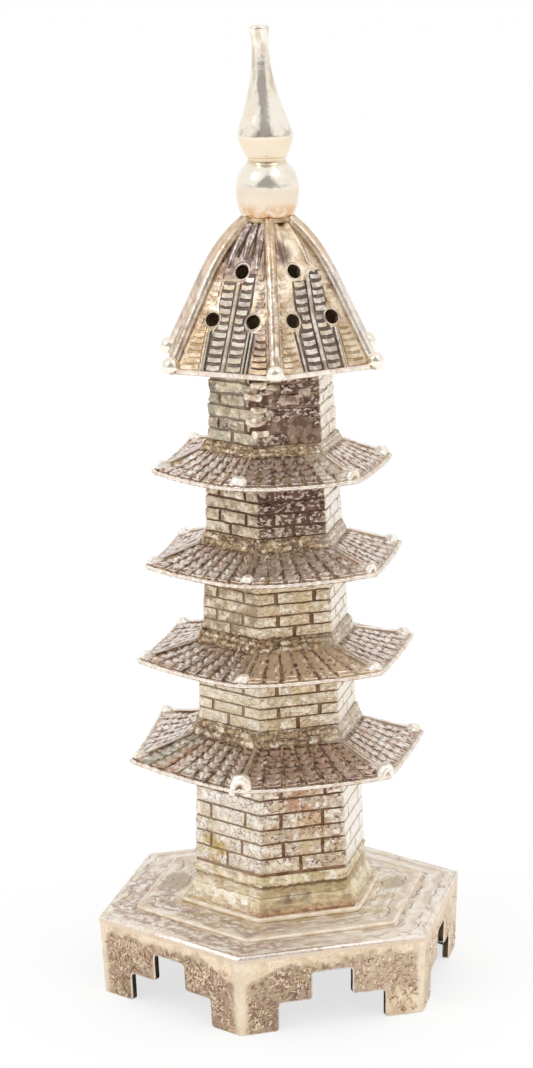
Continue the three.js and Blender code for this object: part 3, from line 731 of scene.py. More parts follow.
def lump_metal():
    """Lumps on the top storey: cream round the front left corner, grey-brown on the front."""
    f = Finish("lump_silver")
    pale = f.mix((252, 238, 220), (210, 184, 160), f.patches(195, 0.8, 0.42, 0.58, detail=4))
    dull = f.mix((204, 182, 164), (150, 124, 108), f.patches(196, 0.8, 0.42, 0.58, detail=4))
    f.start(pale, dull, f.side(32, 20, 0.03))
    f.tint((112, 84, 70), 0.4 * f.patches(197, 0.5, 0.58, 0.68))
    return f.done(0.34, f.cloud(198, 0.4), 0.08)


def apron_metal():
    """Matted where the dashes lie, plain along the top, at the corners and on one foot; the pale plain right
    face is painted light.
    """
    f = Finish("apron_silver")
    ground = f.mix((200, 175, 155), (206, 186, 155), f.patches(71, 2.2, 0.42, 0.6))
    ground = f.mix(ground, (150, 123, 106), 0.85 * f.patches(72, 0.5, 0.46, 0.62, detail=4))
    plain = f.mix((252, 233, 206), (228, 205, 174), f.patches(74, 1.6, 0.4, 0.65, detail=4))
    plain = f.mix(plain, (190, 162, 136), 0.4 * f.squiggles(77, 1.1, 0.02))
    wander = f.cloud(75, 1.5, detail=6, roughness=0.65) - 0.5
    dip = f.ramp(f.reach((0, -19.6, 7.4)) + 3.0 * wander, 4.5, 1.0)
    band = f.ramp(f.up() + 3.6 * wander + 1.8 * dip, 6.6, 7.4)
    foot = f.ramp(f.reach((15.4, -12.2, 0.4)) + 2.0 * wander, 3.6, 2.6)
    corners = f.ramp(f.from_flats() - (f.out() + 0.3 * wander), -2.1, -2.45)
    # The right face's share of the plain finish is painted light, not wear
    bare = band | foot | 0.8 * f.side(90) | 0.45 * f.side(48, 14, 0.05) | corners
    f.start(ground, plain, bare)
    f.tint(CREAM, 0.5 * corners)
    return f.done(f.blend(0.5, 0.34, bare), f.cloud(76, 0.22), 0.09)


def deck_metal():
    """Cream along the edges of the deck and the steps, banded and mottled on the treads between them."""
    f = Finish("deck_silver", 0.45)
    left = f.side(-45, 60, 0.2)
    f.start((252, 244, 232), (242, 228, 211), f.patches(81, 2.2, 0.42, 0.6))
    out = f.from_flats() + 2.6 * (f.cloud(80, 2.6, detail=4) - 0.5)
    bands = f.ramp(f.calc("PINGPONG", out * (1 / 1.5), 0.5), 0.16, 0.34)
    bands = bands * f.patches(91, 2.8, 0.36, 0.5, detail=2)
    f.tint((214, 194, 168), 0.6 * bands)
    outer_tread = f.ramp(out, 13.9, 14.3) * ~f.ramp(out, 16.1, 16.5)
    inner_tread = f.ramp(out, 10.0, 10.4) * ~f.ramp(out, 12.7, 13.1)
    mottle = f.patches(82, 0.7, 0.42, 0.58, detail=5)
    f.tint((190, 166, 154), (outer_tread | inner_tread) * mottle * (0.12 + 0.78 * left))
    patch = f.near((-12.4, 0.5, 9), 2.2, 3.2) | f.near((11, 4, 9), 1.2, 2.4)
    f.tint((196, 180, 156), 0.9 * inner_tread * patch)
    f.tint((212, 190, 144), 0.75 * f.patches(90, 1.6, 0.5, 0.62) * f.ramp(out, 14, 10))
    lines = f.rings(86, 1.9, 0.045, 1.1) | 0.8 * f.rings(87, 2.7, 0.034, 1.6)
    lines = lines * f.patches(88, 1.8, 0.38, 0.56)
    f.tint((168, 138, 116), 0.85 * lines)
    f.tint((158, 126, 112), 0.7 * f.squiggles(84, 1.0, 0.024) * f.patches(83, 1.8, 0.46, 0.62) * left)
    edges = ~f.height(8.15, 8.3)
    f.tint((232, 212, 188), edges)
    relief = f.cloud(89, 0.9, detail=4) - 0.5 * lines - 0.5 * bands
    return f.done(f.blend(0.42, 0.56, f.patches(85, 1.2, 0.42, 0.64)), relief, 0.12)


def plinth_metal():
    """A cream and green-gold band, a cove darkened as painted shade with a painted shadow line above it,
    under the band, and a golden flare that ends reddish.
    """
    f = Finish("plinth_silver", 0.8)
    left, front = f.side(-30), f.side(30, 34, 0.06)
    level = f.up() + 0.9 * (f.cloud(97, 0.8, detail=4) - 0.5)
    band = f.ramp(level, 12.2, 12.4)
    f.start((255, 246, 228), (236, 218, 182), f.patches(91, 1.2, 0.4, 0.6))
    # Painted light: the olive tint is weaker on the left face
    olive = ~(0.7 * left) * f.patches(92, 0.9, 0.44, 0.6, detail=4)
    f.tint((204, 188, 134), f.blend(0.4, 0.8, band) * olive)
    # Painted shade in the cove, weaker on the left face, and a painted shadow line under the band, deepest
    # on the front
    cove = f.ramp(level, 11.0, 11.4) * ~band
    f.tint((190, 168, 122), 0.8 * cove * ~(0.75 * left))
    line = f.ramp(level, 11.9, 12.05) * ~f.ramp(level, 12.2, 12.35)
    f.tint((104, 82, 60), (0.3 + 0.4 * front) * line)
    # The flare's tan and reddish tints lie mostly on the front, and that front share is painted shade
    brushed = f.patches(98, 0.9, 0.36, 0.6, detail=4, stretch=(0.5, 0.5, 2.4))
    tan = f.mix((240, 216, 168), (186, 158, 116), brushed)
    f.tint(tan, 0.85 * ~f.ramp(level, 10.7, 11.2) * front)
    reddish = f.mix((222, 184, 146), (166, 124, 98), f.patches(96, 0.5, 0.42, 0.58, detail=4))
    f.tint(reddish, ~f.ramp(level, 9.6, 10.3) * (0.15 + 0.7 * front))
    stain = f.near((3.0, -8.8, 11.0), 0.4, 1.2) | f.near((4.6, -7.9, 11.1), 0.4, 1.3)
    f.tint((88, 66, 50), 0.9 * stain * f.patches(95, 0.6, 0.3, 0.46))
    flow = f.patches(93, 0.9, 0.5, 0.62, detail=4, stretch=(0.8, 0.8, 1.4))
    f.tint((178, 144, 112), 0.4 * flow)
    return f.done(0.34, f.cloud(94, 0.5, detail=5) - 0.5 * flow - 0.6 * line, 0.12)


def roof_metal():
    f = Finish("roof_silver")
    f.start((250, 234, 209), (214, 189, 158), f.patches(101, 2.0, 0.4, 0.6))
    # Painted shade: the left flats darker tan
    f.tint((176, 148, 122), 0.6 * f.side(-30, 30, 0.05) * f.patches(114, 0.9, 0.44, 0.58, detail=4))
    f.tint((244, 230, 214), 0.5 * f.patches(102, 1.3, 0.5, 0.66, detail=2))
    lilac = f.mix((124, 104, 102), (190, 172, 162), f.patches(103, 0.6, 0.42, 0.6, stretch=LONGISH))
    top = f.height(73.5, 76.5) * f.side(-15, 29, 0.05)
    by_front_rib = f.side(4, 12) * f.patches(107, 1.4, 0.4, 0.54) * f.height(66, 68)
    spots = f.patches(104, 2.0, 0.62, 0.7)
    f.tint(lilac, top | 0.8 * (by_front_rib | spots))
    smoke = f.near((1.9, -4.4, 77.6), 0.8, 2.0) * f.patches(108, 0.7, 0.3, 0.46)
    f.tint((122, 104, 100), 0.95 * smoke)
    f.tint((182, 148, 114), 0.4 * f.patches(109, 1.8, 0.5, 0.66))
    # Painted shade: brown beside the ribs
    by_rib = f.side(68, 7, 0.03) | f.side(15, 8, 0.03) | f.side(-45, 10, 0.04)
    f.tint((172, 145, 112), 0.48 * by_rib * f.patches(110, 1.6, 0.3, 0.5))
    f.tint(BROWN, 0.6 * f.squiggles(105, 1.4, 0.018, detail=2) * f.patches(113, 2.2, 0.44, 0.6))
    return f.done(0.36, f.cloud(106, 0.8), 0.12)


def bar_metal():
    f = Finish("bar_silver")
    f.start((238, 229, 216), (194, 180, 164), f.patches(121, 0.9, 0.42, 0.6))
    f.tint((160, 144, 130), 0.8 * f.patches(122, 1.3, 0.52, 0.66, detail=4))
    f.tint((222, 198, 160), 0.6 * f.patches(124, 1.8, 0.52, 0.66))
    f.tint((166, 160, 145), 0.6 * f.side(-22, 26, 0.05) * ~f.height(73, 76))
    return f.done(0.34, f.cloud(123, 0.3, detail=4), 0.06)


# Camera and surroundings

def add_camera():
    azimuth, elevation, roll = (math.radians(d) for d in (CAMERA_AZIMUTH, CAMERA_ELEVATION, CAMERA_ROLL))
    back = direction(CAMERA_AZIMUTH) * math.cos(elevation) + UP * math.sin(elevation)
    right = Vector((math.cos(azimuth), math.sin(azimuth), 0))
    up = back.cross(right)
    tilted_right = right * math.cos(roll) + up * math.sin(roll)
    tilted_up = up * math.cos(roll) - right * math.sin(roll)
    bpy.ops.object.camera_add()
    camera = bpy.context.object
    place = Matrix((tilted_right, tilted_up, back)).transposed().to_4x4()
    place.translation = right * AIM_SIDE + UP * AIM_HEIGHT + back * CAMERA_DISTANCE
    camera.matrix_world = place
    camera.data.lens = CAMERA_LENS
    camera.data.sensor_width = CAMERA_SENSOR
    camera.data.clip_start = 10 * MM
    bpy.context.scene.camera = camera


def add_tent():
    """White all round, with a dim opening above the lens and a thin line where the table ends."""
    world = bpy.data.worlds.new("white_tent")
    bpy.context.scene.world = world
    tent = Tree(world)

    def sweep(value, low, high):
        """0 at low and 1 at high, both in degrees."""
        return tent.ramp(value, math.radians(low), math.radians(high))

    toward = tent.add("TexCoord", {}).outputs["Generated"]
    split = tent.add("SeparateXYZ", {"Vector": toward})
    x, y, z = (Value(tent, split.outputs[axis]) for axis in "XYZ")
    ripple = Value(tent, tent.add("TexNoise", {"Vector": toward, "Scale": 6}).outputs["Fac"])
    uneven = (ripple - 0.5) * math.radians(OPENING_UNEVENNESS)
    azimuth = tent.calc("ARCTAN2", x, y * -1.0) - math.radians(OPENING_AZIMUTH)
    aside = abs(azimuth) + uneven
    elevation = tent.calc("ARCSINE", z) + uneven * 0.3
    rise = elevation * OPENING_NARROWING + aside
    opening = sweep(rise, OPENING_SPREAD + OPENING_SOFTNESS, OPENING_SPREAD - OPENING_SOFTNESS)
    opening = opening * sweep(elevation, TABLE_LINE - 1, TABLE_LINE + 1)
    line = sweep(abs(elevation - math.radians(TABLE_LINE)), 3, 1) * sweep(aside, 120, 60)
    dimming = (opening * (1 - OPENING_LEVEL) | line * TABLE_LINE_DEPTH) + (1 - TENT_LEVEL)
    glossy = Value(tent, tent.add("LightPath", {}).outputs["Is Glossy Ray"])
    level = 1.0 - dimming * glossy
    shade = tent.add("CombineColor", {"Red": level, "Green": level, "Blue": level})
    background = tent.found("BACKGROUND")
    tent.put(background.inputs["Color"], shade.outputs["Color"])
    tent.put(background.inputs["Strength"], 1)


def add_lamps():
    for azimuth, elevation, power in SOFT_LAMPS:
        angle = math.radians(elevation)
        toward = direction(azimuth) * math.cos(angle) + UP * math.sin(angle)
        bpy.ops.object.light_add(type="AREA", location=toward * LAMP_DISTANCE + UP * AIM_HEIGHT)
        lamp = bpy.context.object
        lamp.rotation_euler = toward.to_track_quat("Z", "Y").to_euler()
        lamp.data.shape = "DISK"
        lamp.data.size = LAMP_SIZE
        lamp.data.energy = power


def add_floor():
    """White paper. The camera sees through part of it, so that its shadow looks softer."""
    bpy.ops.mesh.primitive_plane_add(size=FLOOR_SIZE, location=(0, 0, 0))
    floor = newest("floor")
    material = bpy.data.materials.new("white_paper")
    paper = Tree(material)
    sheet = paper.found("BSDF_PRINCIPLED")
    for key, value in (("Base Color", PAPER_COLOUR), ("Roughness", 1), ("Specular IOR Level", 0)):
        sheet.inputs[key].default_value = value
    seen = paper.add("LightPath", {}).outputs["Is Camera Ray"]
    share = paper.calc("MULTIPLY", seen, SHADOW_SOFTENING)
    clear = paper.add("BsdfTransparent", {})
    both = paper.add("MixShader", {0: share, 1: sheet.outputs["BSDF"], 2: clear.outputs["BSDF"]})
    paper.put(paper.found("OUTPUT_MATERIAL").inputs["Surface"], both.outputs["Shader"])
    floor.data.materials.append(material)


# Base

def dress_base():
    """The apron, the deck and the steps, rounded where rubbed, and the plinth with its lumpy band."""
    low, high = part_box("base_apron")
    piece = copy_node("base_apron", "base_apron_finished")
    number_faces(piece, lambda face: 0 if faces_out(face) else 2)
    with editing(piece, "EDGE"):
        pick(piece, lambda line: is_sharp(line) and is_corner(line, high.y), "edges")
        bpy.ops.mesh.bevel(offset=CORNER_ROUNDING, segments=3, material=0)
        cut_top = high.z - CORNER_ROUNDING
        pick(piece, lambda line: is_sharp(line) and max(v.co.z for v in line.verts) < cut_top, "edges")
        bpy.ops.mesh.bevel(offset=CUT_EDGE, segments=2, material=1, clamp_overlap=True)
    settle(piece, 40, "tower", (apron, edge, hidden), ["base_apron"])

    piece = copy_node("base_deck", "base_deck_finished")
    number_faces(piece, lambda face: 1 if 0.1 < face.normal.z < 0.97 else 2 if face.normal.z < -0.5 else 0)
    settle(piece, 40, "tower", (deck, edge, hidden), ["base_deck"])
    for node in ("base_step_lower", "base_step_upper"):
        piece = copy_node(node, f"{node}_finished")
        number_faces(piece, lambda face: 2 if abs(face.normal.z) < 0.3 else 0)
        bevel(piece, STEP_EDGE, segments=4, rubbed=True)
        # The step sides take the golden olive painted shade under the bead
        settle(piece, 40, "tower", (deck, edge, olive_shade), [node])
        bead_step(node)
    piece = copy_node("tower_plinth", "tower_plinth_finished")
    roughen_band(piece)
    bevel(piece, 0.07 * MM)
    settle(piece, 40, "tower", plinth, ["tower_plinth"])


def bead_step(node):
    """A rounded bead, a little uneven, in place of a step's worn edge."""
    low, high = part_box(node)
    radius = (high.z - low.z) * STEP_BEAD
    corners = [direction(60 * corner) * (high.y - 0.4 * radius) for corner in range(SIDES + 1)]
    points = [corners[k // STEP_POINTS].lerp(corners[k // STEP_POINTS + 1], k % STEP_POINTS / STEP_POINTS)
              + UP * (high.z - 0.6 * radius) for k in range(STEP_POINTS * SIDES)]
    radii = [1 + 0.3 * noise.noise(point / MM * 0.7) for point in points]
    bead = wire(f"{node}_bead", points, radius, radii, closed=True, roundness=3)
    settle(bead, 60, "tower", beads)


def faces_out(face):
    """True for a face of the apron that looks straight away from the axis."""
    if abs(face.normal.z) > 0.3:
        return False
    nearest = max((direction(60 * side + 30) for side in range(SIDES)), key=lambda out: out.dot(face.normal))
    return face.normal.dot(nearest) > 0.9 and face.center.dot(nearest) > 0


def is_sharp(line):
    return len(line.link_faces) == 2 and line.calc_face_angle(0) > math.radians(35)


def is_corner(line, radius):
    """True for one of the six upright outer corners."""
    first, second = (v.co for v in line.verts)
    return min(first.xy.length, second.xy.length) > radius * 0.97 and abs(first.z - second.z) > MM


def roughen_band(piece):
    """Lumps on the upright band at the top of the plinth."""
    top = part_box("tower_plinth")[1].z
    with editing(piece):
        pick(piece, lambda face: abs(face.normal.z) < 0.2 and face.calc_center_median().z > top - 1.0 * MM)
        bpy.ops.mesh.subdivide(number_cuts=9)
    for vertex in piece.data.vertices:
        place = vertex.co / MM
        depth = min(vertex.co.z - top + BAND_HEIGHT, top - vertex.co.z) / (0.15 * MM)
        if depth > 0:
            lump = noise.noise(place * 1.3) * 0.2 + noise.noise(place * 3) * 0.13
            vertex.co += Vector((place.x, place.y, 0)).normalized() * lump * min(depth, 1) * MM


def model_block(name, top, middle=(0, 0)):
    """A block, 1 in every direction, half of it above z = 0, with a top that is narrower by two shares."""
    bpy.ops.mesh.primitive_cube_add(size=1, location=(*middle, 0))
    block = newest(name)
    with editing(block):
        pick(block, lambda face: face.normal.z > 0.5)
        bpy.ops.transform.resize(value=(*top, 1), center_override=(*middle, 0.5))
    return block


def model_dash():
    """A chased dash: a low bent ridge with sloping ends."""
    dash = model_block("dash_model", (0.66, 0.4))
    with editing(dash):
        for cut in (-0.2, 0.2):
            pick_all()
            bpy.ops.mesh.bisect(plane_co=(cut, 0, 0), plane_no=(1, 0, 0))
    for vertex in dash.data.vertices:
        vertex.co.y += 0.9 * (0.25 - vertex.co.x ** 2)
    return dash


def dash_place(centre, along, beside, lift, p):
    return centre + along * p.x + beside * p.y + lift * p.z


def chase_apron():
    """Bright dashes all over the matted ground of the apron, clear of its plain borders."""
    rng = random.Random(5)
    surface = skin("base_apron")
    low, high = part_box("base_apron")
    half = high.y / 2
    margins = [(dx, dz) for dx in (-DASH_MARGIN, DASH_MARGIN) for dz in (-DASH_MARGIN, DASH_MARGIN)]
    places = []
    for side in range(SIDES):
        outward = direction(60 * side + 30)
        across = square_to(outward)

        def hit(x, z):
            return surface.ray_cast(across * x + outward * 2 * high.y + UP * z, -outward, 2 * high.y)

        for _ in range(DASH_TRIES):
            x = rng.uniform(-half, half)
            z = rng.uniform(0, high.z)
            spot = (across * x + outward * high.x + UP * z) / MM
            plain = (spot - PLAIN_CORNER).length < 2.6 + 3 * noise.noise(spot * 0.5)
            if plain or z > high.z - DASH_TOP or abs(x) > half - DASH_END:
                continue
            if rng.random() > DASH_SHARES[side] + noise.noise(spot * 0.3) * 0.6:
                continue
            centre, normal = hit(x, z)[:2]
            if centre is None or abs(normal.dot(outward)) < 0.9 or z < DASH_MARGIN:
                continue
            if any(hit(x + dx, z + dz)[0] is None for dx, dz in margins):
                continue
            turn = rng.uniform(0, math.pi)
            length = rng.uniform(*DASH_LENGTH) * MM
            breadth = DASH_WIDTH * MM * rng.uniform(0.6, 1.5) * rng.choice((-1, 1))
            rise = DASH_RISE * MM * rng.uniform(0.7, 1.2)
            along = (across * math.cos(turn) + UP * math.sin(turn)) * length
            beside = (UP * math.cos(turn) - across * math.sin(turn)) * breadth
            places.append(partial(dash_place, centre, along, beside, outward * rise * 2))
    dash = model_dash()
    piece = scatter("apron_dashes", dash, places)
    bpy.data.objects.remove(dash)
    settle(piece, 20, "tower", dashes)


# Walls

def build_bricks(number):
    """The bricks of one storey, cut out of a six-sided sheet that follows the wall."""
    rng = random.Random(number)
    node = f"storey_{number}"
    low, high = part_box(node)
    foot = ring_radius(node, low.z) - BRICK_SINK
    top = ring_radius(node, high.z) - BRICK_SINK
    bpy.ops.mesh.primitive_cylinder_add(vertices=SIDES, radius=foot, depth=high.z - low.z,
                                        end_fill_type="NOTHING", location=(0, 0, (low.z + high.z) / 2))
    wall = newest(f"{node}_bricks")
    courses = BRICK_COURSES[number]
    start = low.z + BRICK_START[number]
    pitch = (high.z - start) / courses
    levels = [start + pitch * (k + rng.uniform(-0.05, 0.05)) for k in range(courses + 1)]
    levels[0], levels[-1] = start, high.z
    gap = BRICK_GAP[number] * MM
    slit = VERTICAL_JOINT[number] * MM / 2 - gap
    with editing(wall):
        pick(wall, lambda vertex: vertex.co.z > low.z + pitch, "verts")
        bpy.ops.transform.resize(value=(top / foot, top / foot, 1), center_override=(0, 0, high.z))
        for level in levels[:-1]:
            if level > low.z:
                pick_all()
                bpy.ops.mesh.bisect(plane_co=(0, 0, level), plane_no=UP, clear_inner=level == start)
        for course in range(courses):
            middle = (levels[course] + levels[course + 1]) / 2
            for side in range(SIDES):
                outward = direction(60 * side + 30)
                across = square_to(outward)

                def in_course(face):
                    return (abs(face.calc_center_median().z - middle) < pitch * 0.2
                            and face.normal.dot(outward) > 0.9)

                for share in (0.25, 0.75) if course % 2 else (0.5,):
                    shift = (share + rng.uniform(-0.035, 0.035) - 0.5) * foot
                    for cut in (shift - slit, shift + slit):
                        pick(wall, in_course)
                        bpy.ops.mesh.bisect(plane_co=across * cut, plane_no=across)
                    pick(wall, lambda face: in_course(face)
                         and abs(face.calc_center_median().dot(across) - shift) < slit * 0.5)
                    bpy.ops.mesh.delete(type="FACE")
        bpy.ops.mesh.select_mode(type="EDGE")
        pick(wall, lambda line: not line.is_boundary and line.calc_face_angle(0) < math.radians(20), "edges")
        bpy.ops.mesh.edge_split(type="EDGE")
        bpy.ops.mesh.select_mode(type="FACE")
        pick_all()
        bpy.ops.mesh.inset(thickness=gap, use_boundary=True, use_even_offset=True)
        bpy.ops.mesh.select_all(action="INVERT")
        bpy.ops.mesh.delete(type="FACE")
        pick_all()
        bpy.ops.mesh.subdivide(number_cuts=3)
        if number == BARE_STOREY:
            pick(wall, is_worn_away)
            bpy.ops.mesh.delete(type="FACE")
    rough = BRICK_ROUGHNESS[number]
    for vertex in wall.data.vertices:
        place = vertex.co / MM
        wobble = noise.noise_vector(place * 0.8 + Vector((number, 0, 0)))
        outward = Vector((place.x, place.y, 0)).normalized()
        lump = noise.noise(place * 1.2) + 0.7 * noise.noise(place * 2.6)
        vertex.co += (wobble * rough * 0.9 + outward * rough * lump) * MM
    modify(wall, "SOLIDIFY", thickness=BRICK_PROUD + BRICK_SINK, offset=1, use_even_offset=True)
    bevel(wall, BRICK_ROUNDING, 2, 50)
    settle(wall, 50, "tower", brick)


def is_worn_away(face):
    """True where the wall is worn smooth, and round the front left corner, where it has lumps instead."""
    centre = face.calc_center_median() / MM
    uneven = noise.noise(centre * 0.9)
    spot = (centre.dot(BARE_ACROSS) - BARE_SHIFT) / BARE_WIDTH, (centre.z - BARE_HEIGHT) / BARE_TALL
    bare = face.normal.dot(BARE_OUTWARD) > 0.9 and math.hypot(*spot) < 1 + 0.5 * uneven
    corner = abs(centre.x) < 0.75 + 0.6 * uneven and centre.y < 0 and centre.z > 58.8
    return bare or corner


def model_lump():
    """A rounded block, 1 in every direction, that lies between -0.5 and 0.5."""
    bpy.ops.mesh.primitive_cube_add(size=1)
    lump = newest("lump_model")
    subdivide(lump, 5)
    for vertex in lump.data.vertices:
        vertex.co = vertex.co.lerp(vertex.co.normalized() * 0.56, 0.6)
    return lump


def add_lumps(lump):
    """Worn lumps on the top storey: bricks that wrap round its front left corner, and some in front."""
    rng = random.Random(55)
    low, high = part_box("storey_5")
    foot, top = ring_radius("storey_5", low.z), ring_radius("storey_5", high.z)

    def place(turn, height, wide, tall, thick, lean, p):
        z = height * MM + tall * MM * p.z + lean * wide * MM * p.x
        radius = foot + (top - foot) * (z - low.z) / (high.z - low.z)
        angle = math.radians(turn) + wide * MM * p.x / radius
        off_flat = (math.degrees(angle) % 60) - 30
        apothem = radius * FLAT / math.cos(math.radians(off_flat))
        uneven = 1 + 0.5 * noise.noise(Vector((p.x * 4, p.z * 3, height)))
        drop = 0.16 * MM * noise.noise(Vector((p.x * 3, height, p.z)))
        return direction(math.degrees(angle)) * (apothem - thick * p.y * uneven) + UP * (z + drop)

    for name, rows in (("storey_5_corner_lumps", CORNER_LUMPS), ("storey_5_front_lumps", FRONT_LUMPS)):
        places = [partial(place, *row, rng.uniform(0.5, 0.75) * MM, rng.uniform(-0.08, 0.08))
                  for row in rows]
        settle(scatter(name, lump, places), 60, "tower", lumps)


# Eaves

class Skirt:
    """The tiled slope of one eave, seen as six sheets that run from the neck's foot to the rim."""

    def __init__(self, number):
        node = f"eave_{number}"
        above = f"storey_{number + 1}"
        points = [vertex.co for vertex in solid(node).vertices]
        self.surface = skin(node)
        self.neck = ring_radius(above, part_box(above)[0].z) + NECK_SPREAD
        outermost = max(points, key=lambda co: -co.y if abs(co.x) < -0.2 * co.y else -1)
        self.turn = math.degrees(math.atan2(outermost.x, -outermost.y))
        self.corners = [direction(60 * i + self.turn) for i in range(SIDES)]
        self.tips = [max(co.xy.dot(corner.xy) for co in points) for corner in self.corners]

    def between(self, side, across, first_reach, second_reach):
        """A level point between two corners, at a distance from the axis that is given at each of them."""
        one, two = side % SIDES, (side + 1) % SIDES
        return (self.corners[one] * first_reach).lerp(self.corners[two] * second_reach, across)

    def flat(self, side, across, along):
        inner = self.between(side, across, self.neck, self.neck)
        outer = self.between(side, across, self.tips[side % SIDES], self.tips[(side + 1) % SIDES])
        return inner.lerp(outer, along)

    def raised(self, side, place, upward, outward, lift):
        """The point of the skin over or under a place, lifted off it."""
        hit = self.surface.ray_cast(place + UP, -UP)[0]
        return hit + (UP * upward + direction(60 * side + 30 + self.turn) * outward) * lift

    def point(self, side, across, along, lift=0.0):
        """A point of the upper side, lifted square to the slope."""
        place = self.flat(side, across, min(along, 0.9995))
        beyond = self.flat(side, across, along) - place
        return self.raised(side, place, 0.94, 0.34, lift) + beyond

    def neck_point(self, side, across, down, lift):
        """A point on the neck: across from corner to corner and down from the wall to the tiles, 0 to 1."""
        radius = self.neck - NECK_SPREAD * (1 - limit(down, 0.03))
        return self.raised(side, self.between(side, across, radius, radius), 0.47, 0.88, lift)

    def length(self, side, across):
        return (self.point(side, across, 0.999) - self.point(side, across, 0.001)).length

    def tile_place(self, side, middle, breadth, start, length, slant, rise, p):
        along = start + length * p.y + slant * p.x
        return self.point(side, middle + breadth * p.x, max(along, 0.001), rise * p.z)

    def stone_place(self, side, middle, wide, down, high, slant, rise, p):
        return self.neck_point(side, middle + wide * p.x, down + high * p.y + slant * p.x, rise * p.z * 2)


def model_tile():
    """A tile whose lower lip stands up: x across from -0.5 to 0.5, y down the slope from 0 to 1."""
    bpy.ops.mesh.primitive_grid_add(x_subdivisions=4, y_subdivisions=4, size=1, location=(0, 0.5, 0))
    tile = newest("tile_model")
    for vertex in tile.data.vertices:
        x, y, _ = vertex.co
        swell = 1 - (2 * x) ** 2
        lip = limit((y - 0.25) / 0.6)
        vertex.co.z = (0.1 + 0.9 * lip * lip) * (0.6 + 0.4 * swell)
        vertex.co.y = y * (0.72 + 0.26 * swell)
    modify(tile, "SOLIDIFY", thickness=1.2, offset=-1)
    set_wear(tile, [limit(v.co.z * 1.15) if v.co.z > 0.05 else 0.0 for v in tile.data.vertices])
    return tile


def model_end_tile():
    """The box-like tile at the foot of a column, with a sunk face."""
    tile = model_block("end_tile_model", (0.9, 0.86), (0, 0.5))
    with editing(tile):
        pick(tile, lambda face: face.normal.z > 0.5)
        bpy.ops.mesh.inset(thickness=0.17)
        bpy.ops.transform.translate(value=(0, 0, -0.28))
    for vertex in tile.data.vertices:
        vertex.co.z = vertex.co.z * 2 if vertex.co.z > 0 else -0.3
    subdivide(tile, 1)
    set_wear(tile, [1.0 if v.co.z > 0.8 else 0.35 if v.co.z > 0.3 else 0.0 for v in tile.data.vertices])
    return tile


def tile_eave(number, skirt, tile, end_tile):
    rng = random.Random(40 + number)
    tiles, end_tiles = [], []
    width = (1 - 2 * HIP_SHARE) / TILE_COLUMNS
    for side in range(SIDES):
        for column in range(TILE_COLUMNS):
            middle = HIP_SHARE + column * width + width / 2
            run = skirt.length(side, middle)
            body = 1 - END_TILE / run
            count = max(3, round(run * body / TILE_PITCH))
            for row in range(count + 1):
                last = row == count
                start = body if last else body * row / count
                length = 0.965 - body if last else body / count * rng.uniform(0.95, 1.08)
                rise = TILE_RISE * (0.8 if last else rng.choice(TILE_RISES))
                breadth = width * (1 - 2 * TILE_GAP_SHARE * rng.uniform(0.7, 1.3))
                shift = middle + width * rng.uniform(-0.04, 0.04)
                slant = rng.uniform(-0.03, 0.03)
                place = partial(skirt.tile_place, side, shift, breadth, start, length, slant, rise)
                (end_tiles if last else tiles).append(place)
    name = f"eave_{number}_tiles"
    pieces = [scatter(name, tile, tiles), scatter("end_tiles", end_tile, end_tiles)]
    settle(join(name, pieces), 42, "tower", tiles_finish)


def edge_eave(number, skirt):
    """The rubbed bead round the rim, nicked here and there, and the wires down the hips."""
    rng = random.Random(60 + number)
    points, radii = [], []
    to_nick = 4
    for step in range(SIDES * RIM_POINTS):
        points.append(skirt.point(step // RIM_POINTS, step % RIM_POINTS / RIM_POINTS, 1.0) - UP * 0.2 * MM)
        to_nick -= 1
        if to_nick:
            radii.append(rng.uniform(0.95, 1.1))
        else:
            to_nick = rng.randint(3, 6)
            radii.append(0.68)
    pieces = [wire(f"eave_{number}_rim", points, RIM_BEAD, radii, closed=True)]
    for corner in range(SIDES):
        line = [skirt.point(corner, 0.0, 0.02 + 0.09 * k, 0.02 * MM) for k in range(11)]
        radius = HIP_WIRE * (1.35 if corner == 1 else 1)
        pieces.append(wire(f"hip_{corner}", line, radius, [rng.uniform(0.85, 1.1) for _ in line]))
    settle(join(f"eave_{number}_rim", pieces), 50, "tower", edge)


def model_stone():
    """A small uneven stone."""
    stone = model_block("stone_model", (0.78, 0.66))
    subdivide(stone, 1, smoothness=0.6)
    return stone


def dress_neck(number, skirt, stone):
    """Rows of small uneven stones round the neck between an eave and the wall above it."""
    rng = random.Random(20 + number)
    places = []
    for side in range(SIDES):
        for row in range(NECK_ROWS):
            across = 0.02 * row
            while across < 0.97:
                wide = rng.uniform(*NECK_STONE)
                middle = across + wide / 2
                across += wide + NECK_STONE_GAP
                if rng.random() < MISSING_STONES:
                    continue
                down = (row + 0.5 + rng.uniform(-0.12, 0.12)) / NECK_ROWS
                high = rng.uniform(0.6, 0.84) / NECK_ROWS
                rise = NECK_STONE_RISE * rng.uniform(0.5, 1.3)
                slant = rng.uniform(-0.06, 0.06)
                places.append(partial(skirt.stone_place, side, middle, wide, down, high, slant, rise))
    piece = scatter(f"eave_{number}_neck_stones", stone, places)
    settle(piece, 60, "tower", neck_finish)


def model_round(name, segments, rings, location, scale):
    bpy.ops.mesh.primitive_uv_sphere_add(segments=segments, ring_count=rings, radius=1, location=location,
                                         scale=scale)
    return newest(name)


def melt(first, second):
    """Two overlapping pieces made one worn lump."""
    piece = join("knob_model", [first, second])
    modify(piece, "REMESH", mode="VOXEL", voxel_size=0.045)
    modify(piece, "SMOOTH", factor=0.5, iterations=3)
    modify(piece, "DECIMATE", ratio=0.3)
    return piece


